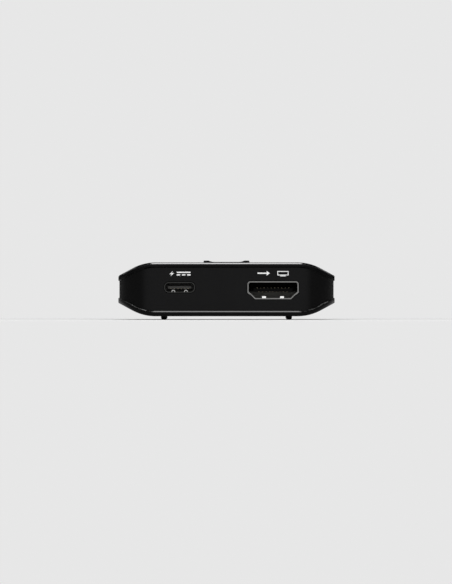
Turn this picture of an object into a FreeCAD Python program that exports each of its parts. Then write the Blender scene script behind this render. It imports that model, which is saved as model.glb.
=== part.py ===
import FreeCAD, Part
import math
import os
import re
import Sketcher

# A small HDMI splitter: a flat winged case of two bent covers round a middle frame,
# with a board, three HDMI receptacles, a USB-C power inlet and a push button on top.
# Millimetres and degrees.  X runs along the front, Y from front to back, Z up, and the
# origin lies on the table under the middle of the case.

SIZES = (
    # The case.
    ("body_wide", "62.0", "width over the lips of both wings"),
    ("body_deep", "56.0", "depth over the rims of the covers"),
    ("body_tall", "15.4", "height from the bottom cover to the top cover"),
    ("foot_stand", "1.0", "how far the foot strips hold the case off the table"),
    ("plan_corner", "10.6", "radius of the corners seen from above"),
    ("plate_thickness", "1.45", "thickness of the cover plates"),
    ("wing_slope", "28.0", "slope of the wings, in degrees"),
    ("lip_rise", "3.87", "outer corner of a wing's lip above the middle plane"),
    ("shoulder_bend", "14.0", "outer radius of the bend between deck and wing"),
    ("rim_bevel", "0.55", "bevel of the covers' outer rims"),
    ("rim_chamfer", "0.3", "chamfer of the covers' inner rims"),
    ("trim_stock", "3.0", "spare plate that is trimmed away round the plan outline"),
    # The middle frame between the covers.
    ("frame_inset", "0.3", "how far the frame stands back from the rims"),
    ("frame_wall", "1.6", "wall of the frame"),
    ("seam_gap", "0.05", "seam between the frame and each cover"),
    ("rib_long", "36.0", "length of a locating rib"),
    ("rib_thick", "1.0", "thickness of a locating rib"),
    ("rib_tall", "1.5", "height of a locating rib"),
    ("rib_gap", "0.1", "gap between a rib and the frame"),
    # The board and its screws.
    ("board_drop", "0.95", "top of the board below the middle plane"),
    ("board_thick", "1.6", "thickness of the board"),
    ("board_gap", "0.3", "gap between the board and the frame"),
    ("pillar_side", "21.2", "screw pillars from the middle, sideways"),
    ("pillar_wide", "5.0", "diameter of a screw pillar"),
    ("screw_wide", "2.0", "diameter of a screw's shank"),
    ("screw_long", "8.0", "length of a screw below its head"),
    ("screw_head_wide", "3.5", "diameter of a screw's head"),
    ("screw_head_tall", "1.3", "height of a screw's head"),
    ("screw_sink", "0.3", "head of a screw below the bottom cover"),
    ("screw_gap", "0.15", "radial clearance round a screw's shank and head"),
    ("thread_gap", "0.03", "radial clearance of a screw in its threaded pillar"),
    ("thread_spare", "0.8", "depth of a threaded pillar beyond the screw's end"),
    # The foot strips.
    ("foot_wide", "1.6", "width of a foot strip"),
    ("foot_long", "44.0", "length of a foot strip"),
    ("foot_side", "17.94", "foot strips from the middle"),
    ("foot_seat", "0.6", "depth of a foot strip's groove"),
    ("foot_round", "0.3", "rounding of a foot strip's lower edges"),
    ("foot_gap", "0.05", "gap between a foot strip and the sides of its groove"),
    # The HDMI receptacles.
    ("port_side", "13.3", "HDMI receptacles from the middle"),
    ("port_drop", "0.26", "middle of an HDMI receptacle below the middle plane"),
    ("port_recess", "0.1", "mouth of a receptacle behind the frame's face"),
    ("port_gap", "0.2", "gap between a receptacle's shell and the frame"),
    ("port_cavity_wide", "14.0", "width inside an HDMI shell"),
    ("port_cavity_tall", "4.5", "height inside an HDMI shell"),
    ("port_shoulder", "0.87", "shoulders inside an HDMI shell below its middle"),
    ("port_floor_wide", "10.06", "width of the floor inside an HDMI shell"),
    ("port_corner", "0.5", "radius of the corners inside an HDMI shell"),
    ("port_wall", "0.3", "sheet thickness of an HDMI shell"),
    ("port_deep", "11.3", "depth of an HDMI shell"),
    ("port_spring_side", "2.57", "contact springs from the middle of an HDMI shell"),
    ("port_spring_wide", "1.1", "width of a contact spring"),
    ("port_spring_lift", "0.55", "crown of a contact spring above the shell's floor"),
    ("port_spring_long", "4.6", "length of a contact spring"),
    ("port_spring_nose", "0.25", "steep nose of a contact spring, front to back"),
    ("port_spring_thick", "0.2", "thickness of a contact spring"),
    ("port_window_gap", "0.2", "slot round a contact spring"),
    ("port_front_bridge", "0.7", "shell in front of a spring's window"),
    ("port_wing_wide", "1.2", "board tabs beyond the side of an HDMI shell"),
    ("port_wing_long", "2.0", "length of a board tab"),
    ("port_wing_front", "3.4", "first pair of board tabs behind the mouth"),
    ("port_wing_pitch", "5.4", "spacing of the two pairs of board tabs"),
    ("port_leg_long", "1.1", "width of a board tab's leg"),
    ("port_leg_below", "0.5", "leg of a board tab below the board"),
    ("port_notch_gap", "0.2", "gap between an HDMI shell and the board's notch"),
    ("tongue_wide", "11.2", "width of an HDMI tongue"),
    ("tongue_thick", "1.05", "thickness of an HDMI tongue"),
    ("tongue_rise", "0.125", "middle of the tongue above the middle of the shell"),
    ("tongue_recess", "1.5", "tip of the tongue behind the shell's mouth"),
    ("tongue_block", "5.4", "depth of the insulator behind the tongue"),
    ("insulator_gap", "0.04", "gap between an insulator and its shell"),
    ("contact_pitch", "1.0", "spacing of the contacts in one row"),
    ("contact_upper", "10", "contacts in the upper row"),
    ("contact_lower", "9", "contacts in the lower row"),
    ("contact_wide", "0.3", "width of a contact"),
    ("contact_thick", "0.2", "thickness of a contact"),
    ("contact_proud", "0.05", "contact above the tongue's face"),
    ("contact_tip", "0.5", "contact's end behind the tongue's tip"),
    ("contact_tail", "1.1", "length of a contact's foot on the board"),
    ("contact_bend", "0.3", "contact's bend behind the insulator"),
    ("contact_gap", "0.02", "gap between a contact and its groove"),
    # The USB-C power inlet.
    ("inlet_side", "13.4", "power inlet from the middle"),
    ("inlet_wide", "8.74", "width of the inlet's shell"),
    ("inlet_tall", "2.96", "height of the inlet's shell"),
    ("inlet_corner", "1.3", "corner radius of the inlet's shell"),
    ("inlet_wall", "0.2", "sheet thickness of the inlet's shell"),
    ("inlet_deep", "7.35", "depth of the inlet's shell"),
    ("inlet_lift", "0.04", "solder between the inlet's shell and the board"),
    ("inlet_tongue_wide", "6.69", "width of the inlet's tongue"),
    ("inlet_tongue_thick", "0.7", "thickness of the inlet's tongue"),
    ("inlet_tongue_recess", "0.8", "tip of the inlet's tongue behind its mouth"),
    ("inlet_block", "1.9", "depth of the insulator behind the inlet's tongue"),
    ("inlet_arch_side", "1.8", "arched ribs on the shell's floor from the middle of the inlet"),
    ("inlet_arch_wide", "1.1", "width of an arched rib"),
    ("inlet_arch_long", "2.2", "length of an arched rib"),
    ("inlet_leg_long", "1.1", "width of a leg of the inlet's shell"),
    ("inlet_leg_front", "2.5", "first pair of legs behind the mouth"),
    ("inlet_leg_pitch", "3.6", "spacing of the two pairs of legs"),
    ("inlet_contacts", "6", "contacts of the power inlet"),
    ("inlet_pitch", "1.0", "spacing of the inlet's contacts"),
    # The push button and its switch.
    ("button_wide", "13.2", "width and depth of the button"),
    ("button_corner", "3.2", "radius of the button's corners"),
    ("button_rise", "0.6", "horns of the button above the top cover"),
    ("button_gap", "0.15", "gap between the button and its opening"),
    ("button_bevel", "0.15", "bevel of the button's upper outline"),
    ("button_travel", "0.3", "travel of the button"),
    ("scoop_depth", "0.41", "floor of the finger scoop below the horns"),
    ("scoop_floor_wide", "6.9", "width of the scoop's flat floor"),
    ("scoop_mouth_wide", "10.3", "width of the scoop between the horns"),
    ("flange_reach", "0.9", "button's flange beyond its sides"),
    ("flange_thick", "1.1", "thickness of the button's flange"),
    ("flange_gap", "0.1", "gap between the flange and the top cover"),
    ("stem_wide", "3.0", "diameter of the stem under the button"),
    ("stem_gap", "0.05", "gap between the stem and the switch's plunger"),
    ("switch_wide", "6.0", "width and depth of the switch"),
    ("switch_base_tall", "3.2", "height of the switch's base"),
    ("switch_plate", "0.3", "thickness of the switch's cover plate"),
    ("switch_tall", "5.0", "height of the switch to its plunger's top"),
    ("switch_well_wide", "4.7", "diameter of the well inside the switch"),
    ("switch_floor", "0.9", "floor of the well above the board"),
    ("plunger_wide", "3.5", "diameter of the plunger's shaft"),
    ("plunger_flange_wide", "4.4", "diameter of the plunger's flange"),
    ("plunger_gap", "0.1", "running gap round the plunger's shaft and flange"),
    ("dome_wide", "4.3", "diameter of the spring dome"),
    ("dome_crown", "1.5", "diameter of the dome's flat crown"),
    ("dome_thick", "0.1", "sheet thickness of the spring dome"),
    ("dome_gap", "0.03", "gap between the dome's crown and the plunger"),
    ("clasp_wide", "2.0", "width of the switch plate's two clasps"),
    ("clasp_deep", "1.6", "reach of a clasp down the switch's base"),
    ("terminal_wide", "0.7", "width of a switch terminal"),
    ("terminal_side", "2.25", "switch terminals from the middle"),
    ("terminal_reach", "1.2", "switch terminal beyond the base"),
    ("terminal_thick", "0.2", "thickness of a switch terminal"),
    ("terminal_root", "0.8", "root of a switch terminal above the board"),
    # The chips and small parts on the board.
    ("chip_wide", "9.0", "width of the splitter chip"),
    ("chip_tall", "0.9", "height of the splitter chip"),
    ("chip_side", "12.8", "splitter chip from the middle"),
    ("chip_bevel", "0.15", "bevel round the top of a chip"),
    ("pad_thick", "0.4", "thickness of the thermal pad"),
    ("sink_wide", "10.4", "width of the heat sink"),
    ("sink_deep", "12.0", "depth of the heat sink"),
    ("sink_base", "1.2", "thickness of the heat sink's base"),
    ("sink_fin_tall", "2.8", "height of the heat sink's fins"),
    ("sink_fin_thick", "0.8", "thickness of a fin"),
    ("sink_fins", "5", "number of fins"),
    ("coil_wide", "4.2", "width of the power inductor"),
    ("coil_tall", "2.2", "height of the power inductor"),
    ("coil_bevel", "0.3", "bevel round the top of the power inductor"),
    ("coil_back", "-13.0", "power inductor from the middle, front to back"),
    ("regulator_wide", "3.0", "width of the voltage regulator"),
    ("regulator_deep", "1.7", "depth of the voltage regulator"),
    ("regulator_tall", "1.1", "height of the voltage regulator"),
    ("regulator_back", "-8.0", "voltage regulator from the middle, front to back"),
    ("memory_wide", "5.0", "width of the memory chip"),
    ("memory_deep", "4.0", "depth of the memory chip"),
    ("memory_tall", "1.4", "height of the memory chip"),
    ("memory_back", "6.5", "memory chip from the middle, front to back"),
    ("crystal_wide", "3.2", "width of the crystal"),
    ("crystal_deep", "2.5", "depth of the crystal"),
    ("crystal_tall", "0.8", "height of the crystal"),
    ("crystal_side", "-14.5", "crystal from the middle, sideways"),
    ("crystal_back", "1.0", "crystal from the middle, front to back"),
    ("tank_wide", "3.5", "width of a tank capacitor"),
    ("tank_deep", "2.8", "depth of a tank capacitor"),
    ("tank_tall", "1.9", "height of a tank capacitor"),
    ("tank_side", "22.6", "tank capacitors and resistors from the middle, sideways"),
    ("tank_back", "10.0", "tank capacitors and resistors from the middle, front to back"),
    ("tank_pitch", "4.6", "spacing of the tank capacitors"),
    ("small_wide", "1.6", "length of a ceramic capacitor or resistor"),
    ("small_deep", "0.8", "width of a ceramic capacitor or resistor"),
    ("small_tall", "0.8", "height of a ceramic capacitor"),
    ("resistor_tall", "0.45", "height of a resistor"),
    ("small_pitch", "2.0", "spacing of the capacitors and resistors"),
    ("small_count", "5", "capacitors or resistors in a row"),
    ("guard_wide", "2.5", "width of a surge guard"),
    ("guard_deep", "1.0", "depth of a surge guard"),
    ("guard_tall", "0.5", "height of a surge guard"),
    ("guard_pitch", "3.4", "spacing of the two surge guards at a receptacle"),
    ("guard_behind", "3.0", "surge guards behind the receptacle's shell"),
    # The power light.
    ("light_back", "-13.5", "power light from the middle, front to back"),
    ("light_wide", "2.0", "diameter of the power light's lens"),
    ("light_stalk_wide", "3.0", "diameter of the lens's stalk under the top cover"),
    ("light_gap", "0.05", "gap between the lens and its hole"),
    ("lamp_wide", "1.6", "width of the light source under the lens"),
    ("lamp_deep", "0.8", "depth of the light source"),
    ("lamp_tall", "0.6", "height of the light source"),
    ("lamp_gap", "0.3", "gap between the light source and the lens"),
)

# Places worked out from the sizes, each from the ones before it.
WORKED = {
    "half_tall": "body_tall / 2",
    "mid_level": "foot_stand + half_tall",
    "deck_level": "foot_stand + body_tall",
    "ceiling_level": "deck_level - plate_thickness",
    "bend_start": "body_wide / 2 - (half_tall - lip_rise) / tan(wing_slope)"
                  " - shoulder_bend * tan(wing_slope / 2)",
    "raw_half": "body_wide / 2 + trim_stock",
    "frame_wide": "body_wide - 2 * frame_inset",
    "frame_deep": "body_deep - 2 * frame_inset",
    "frame_corner": "plan_corner - frame_inset",
    "board_top": "mid_level - board_drop",
    "board_under": "board_top - board_thick",
    "board_inset": "2 * (frame_wall + board_gap)",
    "port_level": "mid_level - port_drop",
    "port_half": "port_cavity_wide / 2",
    "port_mouth": "frame_deep / 2 - port_recess",
    "inlet_level": "board_top + inlet_lift + inlet_tall / 2",
    "head_level": "foot_stand + screw_sink + screw_head_tall",
    "screw_end": "head_level + screw_long",
    "flange_top": "ceiling_level - flange_gap",
    "flange_under": "flange_top - flange_thick",
    "plunger_top": "board_top + switch_tall",
    "dome_tall": "button_travel + 2 * dome_thick",
    "chip_top": "board_top + chip_tall",
    "pad_top": "chip_top + pad_thick",
    "tongue_level": "port_level + tongue_rise",
}

# Lengths and volumes that differ by less than these count as equal.
TOUCHING = 1e-6
CLOSE = 1e-3
# An edge whose direction rises more than this runs up a corner, not round the rim.
UPRIGHT = 0.95

document = FreeCAD.newDocument("Splitter")
sheet = document.addObject("Spreadsheet::Sheet", "Sizes")


def fill_sheet():
    """Write each size's name, number and meaning as one row of the sheet."""
    for row, (alias, number, meaning) in enumerate(SIZES, start=1):
        sheet.set(f"A{row}", alias)
        sheet.set(f"B{row}", number)
        sheet.set(f"C{row}", meaning)
        sheet.setAlias(f"B{row}", alias)
    document.recompute()


def bind(text):
    """Spell out the worked places in an expression and point its sizes at the sheet."""
    aliases = {alias for alias, number, meaning in SIZES}

    def spell(word):
        name = word.group()
        if name in WORKED:
            return "(" + bind(WORKED[name]) + ")"
        return "Sizes." + name if name in aliases else name

    return re.sub(r"\b[a-z][a-z_]*\b", spell, str(text))


def value(text):
    """The number that an expression has now."""
    result = sheet.evalExpression(bind(text))
    return float(result.Value if hasattr(result, "Value") else result)


# Sketches.

def new_body(label):
    body = document.addObject("PartDesign::Body", label)
    body.Label = label
    body.AllowCompound = True
    return body


def origin_of(body, role):
    return next(item for item in body.Origin.OriginFeatures if item.Role == role)


def sketch_on(body, name, role, offset="0"):
    """A sketch on one of the body's own planes, moved along that plane's normal."""
    sketch = body.newObject("Sketcher::SketchObject", name)
    sketch.AttachmentSupport = [(origin_of(body, role), "")]
    sketch.MapMode = "FlatFace"
    sketch.setExpression(".AttachmentOffset.Base.z", bind(offset))
    return sketch


def fix(sketch, kind, *references, size):
    """Add one dimension to a sketch and bind it to its expression."""
    index = sketch.addConstraint(Sketcher.Constraint(kind, *references, value(size)))
    sketch.setExpression(f"Constraints[{index}]", bind(size))


def arc_between(start, end, radius, clockwise):
    """The shorter arc from start to end, as Part draws it: anticlockwise."""
    chord = end - start
    side = FreeCAD.Vector(chord.y, -chord.x, 0) if clockwise else FreeCAD.Vector(-chord.y, chord.x, 0)
    side.normalize()
    reach = math.sqrt(max(radius ** 2 - (chord.Length / 2) ** 2, 0))
    centre = (start + end) / 2 + side * reach
    first, last = (end, start) if clockwise else (start, end)
    angles = [math.atan2(point.y - centre.y, point.x - centre.x) for point in (first, last)]
    if angles[1] < angles[0]:
        angles[1] += 2 * math.pi
    circle = Part.Circle(centre, FreeCAD.Vector(0, 0, 1), radius)
    return Part.ArcOfCircle(circle, *angles)


def draw(sketch, points):
    """Draw a closed outline through points given as expressions.

    A point with a radius and a turn is reached by an arc: turn 1 is clockwise, -1 is not.
    """
    places = [FreeCAD.Vector(value(point[0]), value(point[1]), 0) for point in points]
    ends = []
    for index, point in enumerate(points):
        start, end = places[index - 1], places[index]
        if len(point) == 2:
            line = sketch.addGeometry(Part.LineSegment(start, end), False)
            ends.append((line, 1, 2))
            continue
        clockwise = point[3] > 0
        edge = arc_between(start, end, value(point[2]), clockwise)
        arc = sketch.addGeometry(edge, False)
        ends.append((arc, 2, 1) if clockwise else (arc, 1, 2))
        fix(sketch, "Radius", arc, size=point[2])
    for index, (edge, first, last) in enumerate(ends):
        following, next_first, next_last = ends[(index + 1) % len(ends)]
        joint = Sketcher.Constraint("Coincident", edge, last, following, next_first)
        sketch.addConstraint(joint)
        fix(sketch, "DistanceX", -1, 1, edge, last, size=points[index][0])
        fix(sketch, "DistanceY", -1, 1, edge, last, size=points[index][1])


def circle(sketch, x, y, diameter):
    middle = FreeCAD.Vector(value(x), value(y), 0)
    ring = Part.Circle(middle, FreeCAD.Vector(0, 0, 1), value(diameter) / 2)
    edge = sketch.addGeometry(ring, False)
    fix(sketch, "DistanceX", -1, 1, edge, 3, size=x)
    fix(sketch, "DistanceY", -1, 1, edge, 3, size=y)
    fix(sketch, "Diameter", edge, size=diameter)


def rectangle(x, y, wide, tall):
    """Corners of a rectangle about a middle point, clockwise."""
    left, right = f"{x} - ({wide}) / 2", f"{x} + ({wide}) / 2"
    low, high = f"{y} - ({tall}) / 2", f"{y} + ({tall}) / 2"
    return [(left, low), (left, high), (right, high), (right, low)]


def rounded(x, y, wide, tall, radius):
    """A rectangle with rounded corners about a middle point, clockwise."""
    left, right = f"{x} - ({wide}) / 2", f"{x} + ({wide}) / 2"
    low, high = f"{y} - ({tall}) / 2", f"{y} + ({tall}) / 2"
    return [
        (f"{left} + ({radius})", low, radius, 1),
        (left, f"{low} + ({radius})", radius, 1),
        (left, f"{high} - ({radius})"),
        (f"{left} + ({radius})", high, radius, 1),
        (f"{right} - ({radius})", high),
        (right, f"{high} - ({radius})", radius, 1),
        (right, f"{low} + ({radius})"),
        (f"{right} - ({radius})", low, radius, 1),
    ][1:] + [(f"{left} + ({radius})", low)]


def backwards(points):
    """The same open line drawn from its other end."""
    turned = [points[-1][:2]]
    for point, before in zip(reversed(points), reversed(points[:-1])):
        turned.append(before[:2] + ((point[2], -point[3]) if len(point) == 4 else ()))
    return turned


# Features.

def grow(body, kind, sketch, length, both=False, flip=False):
    """Pad or pocket a sketch by a length, both ways or flipped where that is asked."""
    feature = body.newObject("PartDesign::" + kind, sketch.Name + "_" + kind.lower())
    feature.Profile = sketch
    feature.setExpression("Length", bind(length))
    feature.Midplane = both
    feature.Reversed = flip
    document.recompute()
    return feature


def pad(body, sketch, length, both=False, flip=False):
    return grow(body, "Pad", sketch, length, both, flip)


def cut(body, sketch, length, both=False, flip=False):
    """Pocket a sketch and make sure that the pocket takes something away."""
    before = body.Shape.Volume
    feature = grow(body, "Pocket", sketch, length, both, flip)
    if not body.Shape.Volume < before - TOUCHING:
        raise RuntimeError(sketch.Name + " cuts nothing")
    return feature


def revolve(body, sketch):
    feature = body.newObject("PartDesign::Revolution", sketch.Name + "_turned")
    feature.Profile = sketch
    feature.ReferenceAxis = (origin_of(body, "Z_Axis"), [""])
    feature.Angle = 360
    document.recompute()
    return feature


def row_of(body, feature, pitch, count):
    """Repeat a feature along X."""
    pattern = body.newObject("PartDesign::LinearPattern", feature.Name + "_row")
    pattern.Originals = [feature]
    pattern.Direction = (origin_of(body, "X_Axis"), [""])
    pattern.setExpression("Length", bind(f"({pitch}) * (({count}) - 1)"))
    pattern.setExpression("Occurrences", bind(count))
    body.Tip = pattern
    document.recompute()
    return pattern


def dress(body, kind, edges, size):
    """Fillet or chamfer the edges of the body's last feature that pass a test."""
    tip = body.Tip
    names = [f"Edge{index}" for index, edge in enumerate(tip.Shape.Edges, start=1) if edges(edge)]
    if not names:
        raise RuntimeError(body.Label + " has no edge to dress")
    feature = body.newObject("PartDesign::" + kind, body.Name + "_" + kind.lower())
    feature.Base = (tip, names)
    feature.setExpression("Radius" if kind == "Fillet" else "Size", bind(size))
    document.recompute()
    return feature


def middle_of(edge):
    return edge.valueAt((edge.FirstParameter + edge.LastParameter) / 2)


def direction_of(edge):
    return edge.tangentAt((edge.FirstParameter + edge.LastParameter) / 2)


def place(body, x="0", y="0", z="0", turned=False):
    """Move a finished body to its seat, turned half round where it faces the rear."""
    turn = FreeCAD.Rotation(FreeCAD.Vector(0, 0, 1), 180 if turned else 0)
    body.Placement = FreeCAD.Placement(FreeCAD.Vector(), turn)
    for axis, size in zip("xyz", (x, y, z)):
        body.setExpression(f".Placement.Base.{axis}", bind(size))
    document.recompute()


# The case.

def bend_line(depth, side):
    """One face of a bent plate, from left to right, at a depth under its outer face."""
    radius = f"shoulder_bend - ({depth})"
    end = f"bend_start + ({radius}) * sin(wing_slope)"
    flat = f"mid_level + ({side}) * (half_tall - ({depth}))"
    low = f"{flat} - ({side}) * ({radius}) * (1 - cos(wing_slope))"
    tip = f"mid_level + ({side}) * (lip_rise - ({depth}) / cos(wing_slope)" \
          " - trim_stock * tan(wing_slope))"
    return [
        ("-(raw_half)", tip),
        (f"-({end})", low),
        ("-(bend_start)", flat, radius, side),
        ("bend_start", flat),
        (end, low, radius, side),
        ("raw_half", tip),
    ]


def bent_plate(label, side):
    """A cover: a bent plate trimmed to the plan outline; side is 1 for the top one."""
    body = new_body(label)
    section = sketch_on(body, label + "_section", "XZ_Plane")
    draw(section, bend_line("0", side) + backwards(bend_line("plate_thickness", side)))
    pad(body, section, "body_deep + 2 * trim_stock", both=True)
    trim = sketch_on(body, label + "_trim", "XY_Plane", "mid_level")
    draw(trim, rounded("0", "0", "body_wide", "body_deep", "plan_corner"))
    draw(trim, rectangle("0", "0", "2 * raw_half + 2 * trim_stock", "body_deep + 4 * trim_stock"))
    cut(body, trim, "2 * body_tall", both=True)
    dress(body, "Chamfer", lambda edge: on_rim(edge, side, outer=True), "rim_bevel")
    dress(body, "Chamfer", lambda edge: on_rim(edge, side, outer=False), "rim_chamfer")
    return body


def on_rim(edge, side, outer):
    """Whether an edge runs round the plan outline on the outer or the inner face."""
    point, along = middle_of(edge), direction_of(edge)
    if abs(along.z) > UPRIGHT:
        return False
    half_x, half_y = value("body_wide") / 2, value("body_deep") / 2
    radius = value("plan_corner")
    over_x, over_y = abs(point.x) - (half_x - radius), abs(point.y) - (half_y - radius)
    if over_x > 0 and over_y > 0:
        away = abs(math.hypot(over_x, over_y) - radius)
    else:
        away = min(abs(abs(point.x) - half_x), abs(abs(point.y) - half_y))
    if away > CLOSE:
        return False
    half = value("plate_thickness") / 2
    middle = plate_middle(abs(point.x), half)
    above = (point.z - value("mid_level")) * side > middle
    return above == outer


def plate_middle(x, depth):
    """Height above the middle plane of the surface at a depth inside a cover, at x."""
    slope = math.radians(value("wing_slope"))
    radius = value("shoulder_bend") - depth
    start, flat = value("bend_start"), value("half_tall") - depth
    if x <= start:
        return flat
    if x <= start + radius * math.sin(slope):
        return flat - radius + math.sqrt(radius ** 2 - (x - start) ** 2)
    end_x = start + radius * math.sin(slope)
    end_z = flat - radius * (1 - math.cos(slope))
    return end_z - (x - end_x) * math.tan(slope)


def pillar_places():
    return [(f"({side}) * pillar_side", "0") for side in (-1, 1)]


def ribs(body, side):
    """Two straight ribs inside a cover that hold the frame's front and rear walls."""
    sketch = sketch_on(body, body.Name + "_ribs", "XY_Plane",
                       f"mid_level + ({side}) * (half_tall - plate_thickness / 2)")
    middle = "frame_deep / 2 - frame_wall - rib_gap - rib_thick / 2"
    for end in (-1, 1):
        draw(sketch, rectangle("0", f"({end}) * ({middle})", "rib_long", "rib_thick"))
    pad(body, sketch, "rib_tall + plate_thickness / 2", flip=side > 0)


def top_cover():
    body = bent_plate("top_cover", 1)
    ribs(body, 1)
    pillars = sketch_on(body, "top_pillars", "XY_Plane", "board_top")
    threads = sketch_on(body, "top_threads", "XY_Plane", "board_top")
    for x, y in pillar_places():
        circle(pillars, x, y, "pillar_wide")
        circle(threads, x, y, "screw_wide + 2 * thread_gap")
    pad(body, pillars, "deck_level - plate_thickness / 2 - board_top")
    cut(body, threads, "screw_end + thread_spare - board_top", flip=True)
    opening = sketch_on(body, "button_opening", "XY_Plane", "deck_level")
    wide = "button_wide + 2 * button_gap"
    draw(opening, rounded("0", "0", wide, wide, "button_corner + button_gap"))
    cut(body, opening, "2 * plate_thickness", both=True)
    hole = sketch_on(body, "light_hole", "XY_Plane", "deck_level")
    circle(hole, "0", "light_back", "light_wide + 2 * light_gap")
    cut(body, hole, "3 * plate_thickness", both=True)
    return body


def bottom_cover():
    body = bent_plate("bottom_cover", -1)
    ribs(body, -1)
    pillars = sketch_on(body, "bottom_pillars", "XY_Plane", "foot_stand + plate_thickness / 2")
    shanks = sketch_on(body, "bottom_shanks", "XY_Plane", "board_under")
    heads = sketch_on(body, "bottom_heads", "XY_Plane", "foot_stand")
    for x, y in pillar_places():
        circle(pillars, x, y, "pillar_wide")
        circle(shanks, x, y, "screw_wide + 2 * screw_gap")
        circle(heads, x, y, "screw_head_wide + 2 * screw_gap")
    pad(body, pillars, "board_under - foot_stand - plate_thickness / 2")
    cut(body, shanks, "board_under - foot_stand")
    cut(body, heads, "head_level - foot_stand", flip=True)
    grooves = sketch_on(body, "foot_grooves", "XY_Plane", "foot_stand")
    for end in (-1, 1):
        draw(grooves, rectangle(f"({end}) * foot_side", "0",
                                "foot_wide + 2 * foot_gap", "foot_long + 2 * foot_gap"))
    cut(body, grooves, "foot_seat", flip=True)
    return body


def middle_frame():
    body = new_body("middle_frame")
    ring = sketch_on(body, "frame_ring", "XY_Plane", "mid_level")
    draw(ring, rounded("0", "0", "frame_wide", "frame_deep", "frame_corner"))
    draw(ring, rounded("0", "0", "frame_wide - 2 * frame_wall", "frame_deep - 2 * frame_wall",
                       "frame_corner - frame_wall"))
    pad(body, ring, "body_tall", both=True)
    for side in (1, -1):
        trim = sketch_on(body, "frame_trim_top" if side > 0 else "frame_trim_bottom", "XZ_Plane")
        beyond = f"mid_level + ({side}) * body_tall"
        line = bend_line("plate_thickness + seam_gap", side)
        draw(trim, line + [("raw_half", beyond), ("-(raw_half)", beyond)])
        cut(body, trim, "2 * body_deep", both=True)
    front = sketch_on(body, "front_openings", "XZ_Plane", "frame_deep / 2")
    draw(front, port_outline("port_side", "port_wall + port_gap"))
    draw(front, inlet_outline("-(inlet_side)", "port_gap"))
    cut(body, front, "frame_wall + plate_thickness")
    rear = sketch_on(body, "rear_openings", "XZ_Plane", "-(frame_deep) / 2")
    for side in (-1, 1):
        draw(rear, port_outline(f"({side}) * port_side", "port_wall + port_gap"))
    cut(body, rear, "frame_wall + plate_thickness", flip=True)
    return body


def foot_strip(label, side):
    body = new_body(label)
    sketch = sketch_on(body, label + "_plan", "XY_Plane")
    draw(sketch, rectangle("0", "0", "foot_wide", "foot_long"))
    pad(body, sketch, "foot_stand + foot_seat")
    dress(body, "Fillet", lambda edge: edge.BoundBox.ZMax < TOUCHING, "foot_round")
    place(body, x=f"({side}) * foot_side")
    return body


def cover_screws():
    body = new_body("cover_screws")
    heads = sketch_on(body, "screw_heads", "XY_Plane", "foot_stand + screw_sink")
    shanks = sketch_on(body, "screw_shanks", "XY_Plane", "head_level")
    for x, y in pillar_places():
        circle(heads, x, y, "screw_head_wide")
        circle(shanks, x, y, "screw_wide")
    pad(body, heads, "screw_head_tall")
    pad(body, shanks, "screw_long")
    return body


# The board.

def port_seats():
    """Place and facing of each HDMI receptacle: the input in front, the outputs behind."""
    return (
        ("hdmi_in", "port_side", False),
        ("hdmi_out_1", "port_side", True),
        ("hdmi_out_2", "-(port_side)", True),
    )


def circuit_board():
    body = new_body("circuit_board")
    plan = sketch_on(body, "board_plan", "XY_Plane", "board_under")
    draw(plan, rounded("0", "0", "frame_wide - board_inset", "frame_deep - board_inset",
                       "frame_corner - board_inset / 2"))
    pad(body, plan, "board_thick")
    notches = sketch_on(body, "board_notches", "XY_Plane", "board_top")
    slots = sketch_on(body, "board_slots", "XY_Plane", "board_top")
    reach = "port_half + port_wall + port_notch_gap"
    for name, x, turned in port_seats():
        way = 1 if turned else -1
        edge = f"({way}) * (frame_deep / 2 + trim_stock)"
        inner = f"({way}) * (port_mouth - port_deep - port_notch_gap)"
        corners = [(f"{x} - ({reach})", edge), (f"{x} - ({reach})", inner),
                   (f"{x} + ({reach})", inner), (f"{x} + ({reach})", edge)]
        draw(notches, corners)
        for side in (-1, 1):
            for pair in (0, 1):
                away = f"port_wing_front + ({pair}) * port_wing_pitch"
                leg = "port_half + port_wing_wide"
                draw(slots, rectangle(f"{x} + ({side}) * ({leg})",
                                      f"({way}) * (port_mouth - ({away}))",
                                      "port_wall + 2 * board_gap",
                                      "port_leg_long + 2 * board_gap"))
    for side in (-1, 1):
        for pair in (0, 1):
            away = f"inlet_leg_front + ({pair}) * inlet_leg_pitch"
            draw(slots, rectangle(f"-(inlet_side) + ({side}) * (inlet_wide - inlet_wall) / 2",
                                  f"-(port_mouth - ({away}))",
                                  "inlet_wall + 2 * port_gap", "inlet_leg_long + 2 * port_gap"))
    cut(body, notches, "board_thick")
    cut(body, slots, "board_thick")
    holes = sketch_on(body, "board_holes", "XY_Plane", "board_top")
    for x, y in pillar_places():
        circle(holes, x, y, "screw_wide + 2 * screw_gap")
    cut(body, holes, "board_thick")
    return body


# The HDMI receptacles, drawn with the mouth at y = 0 and the depth along +y.

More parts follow.
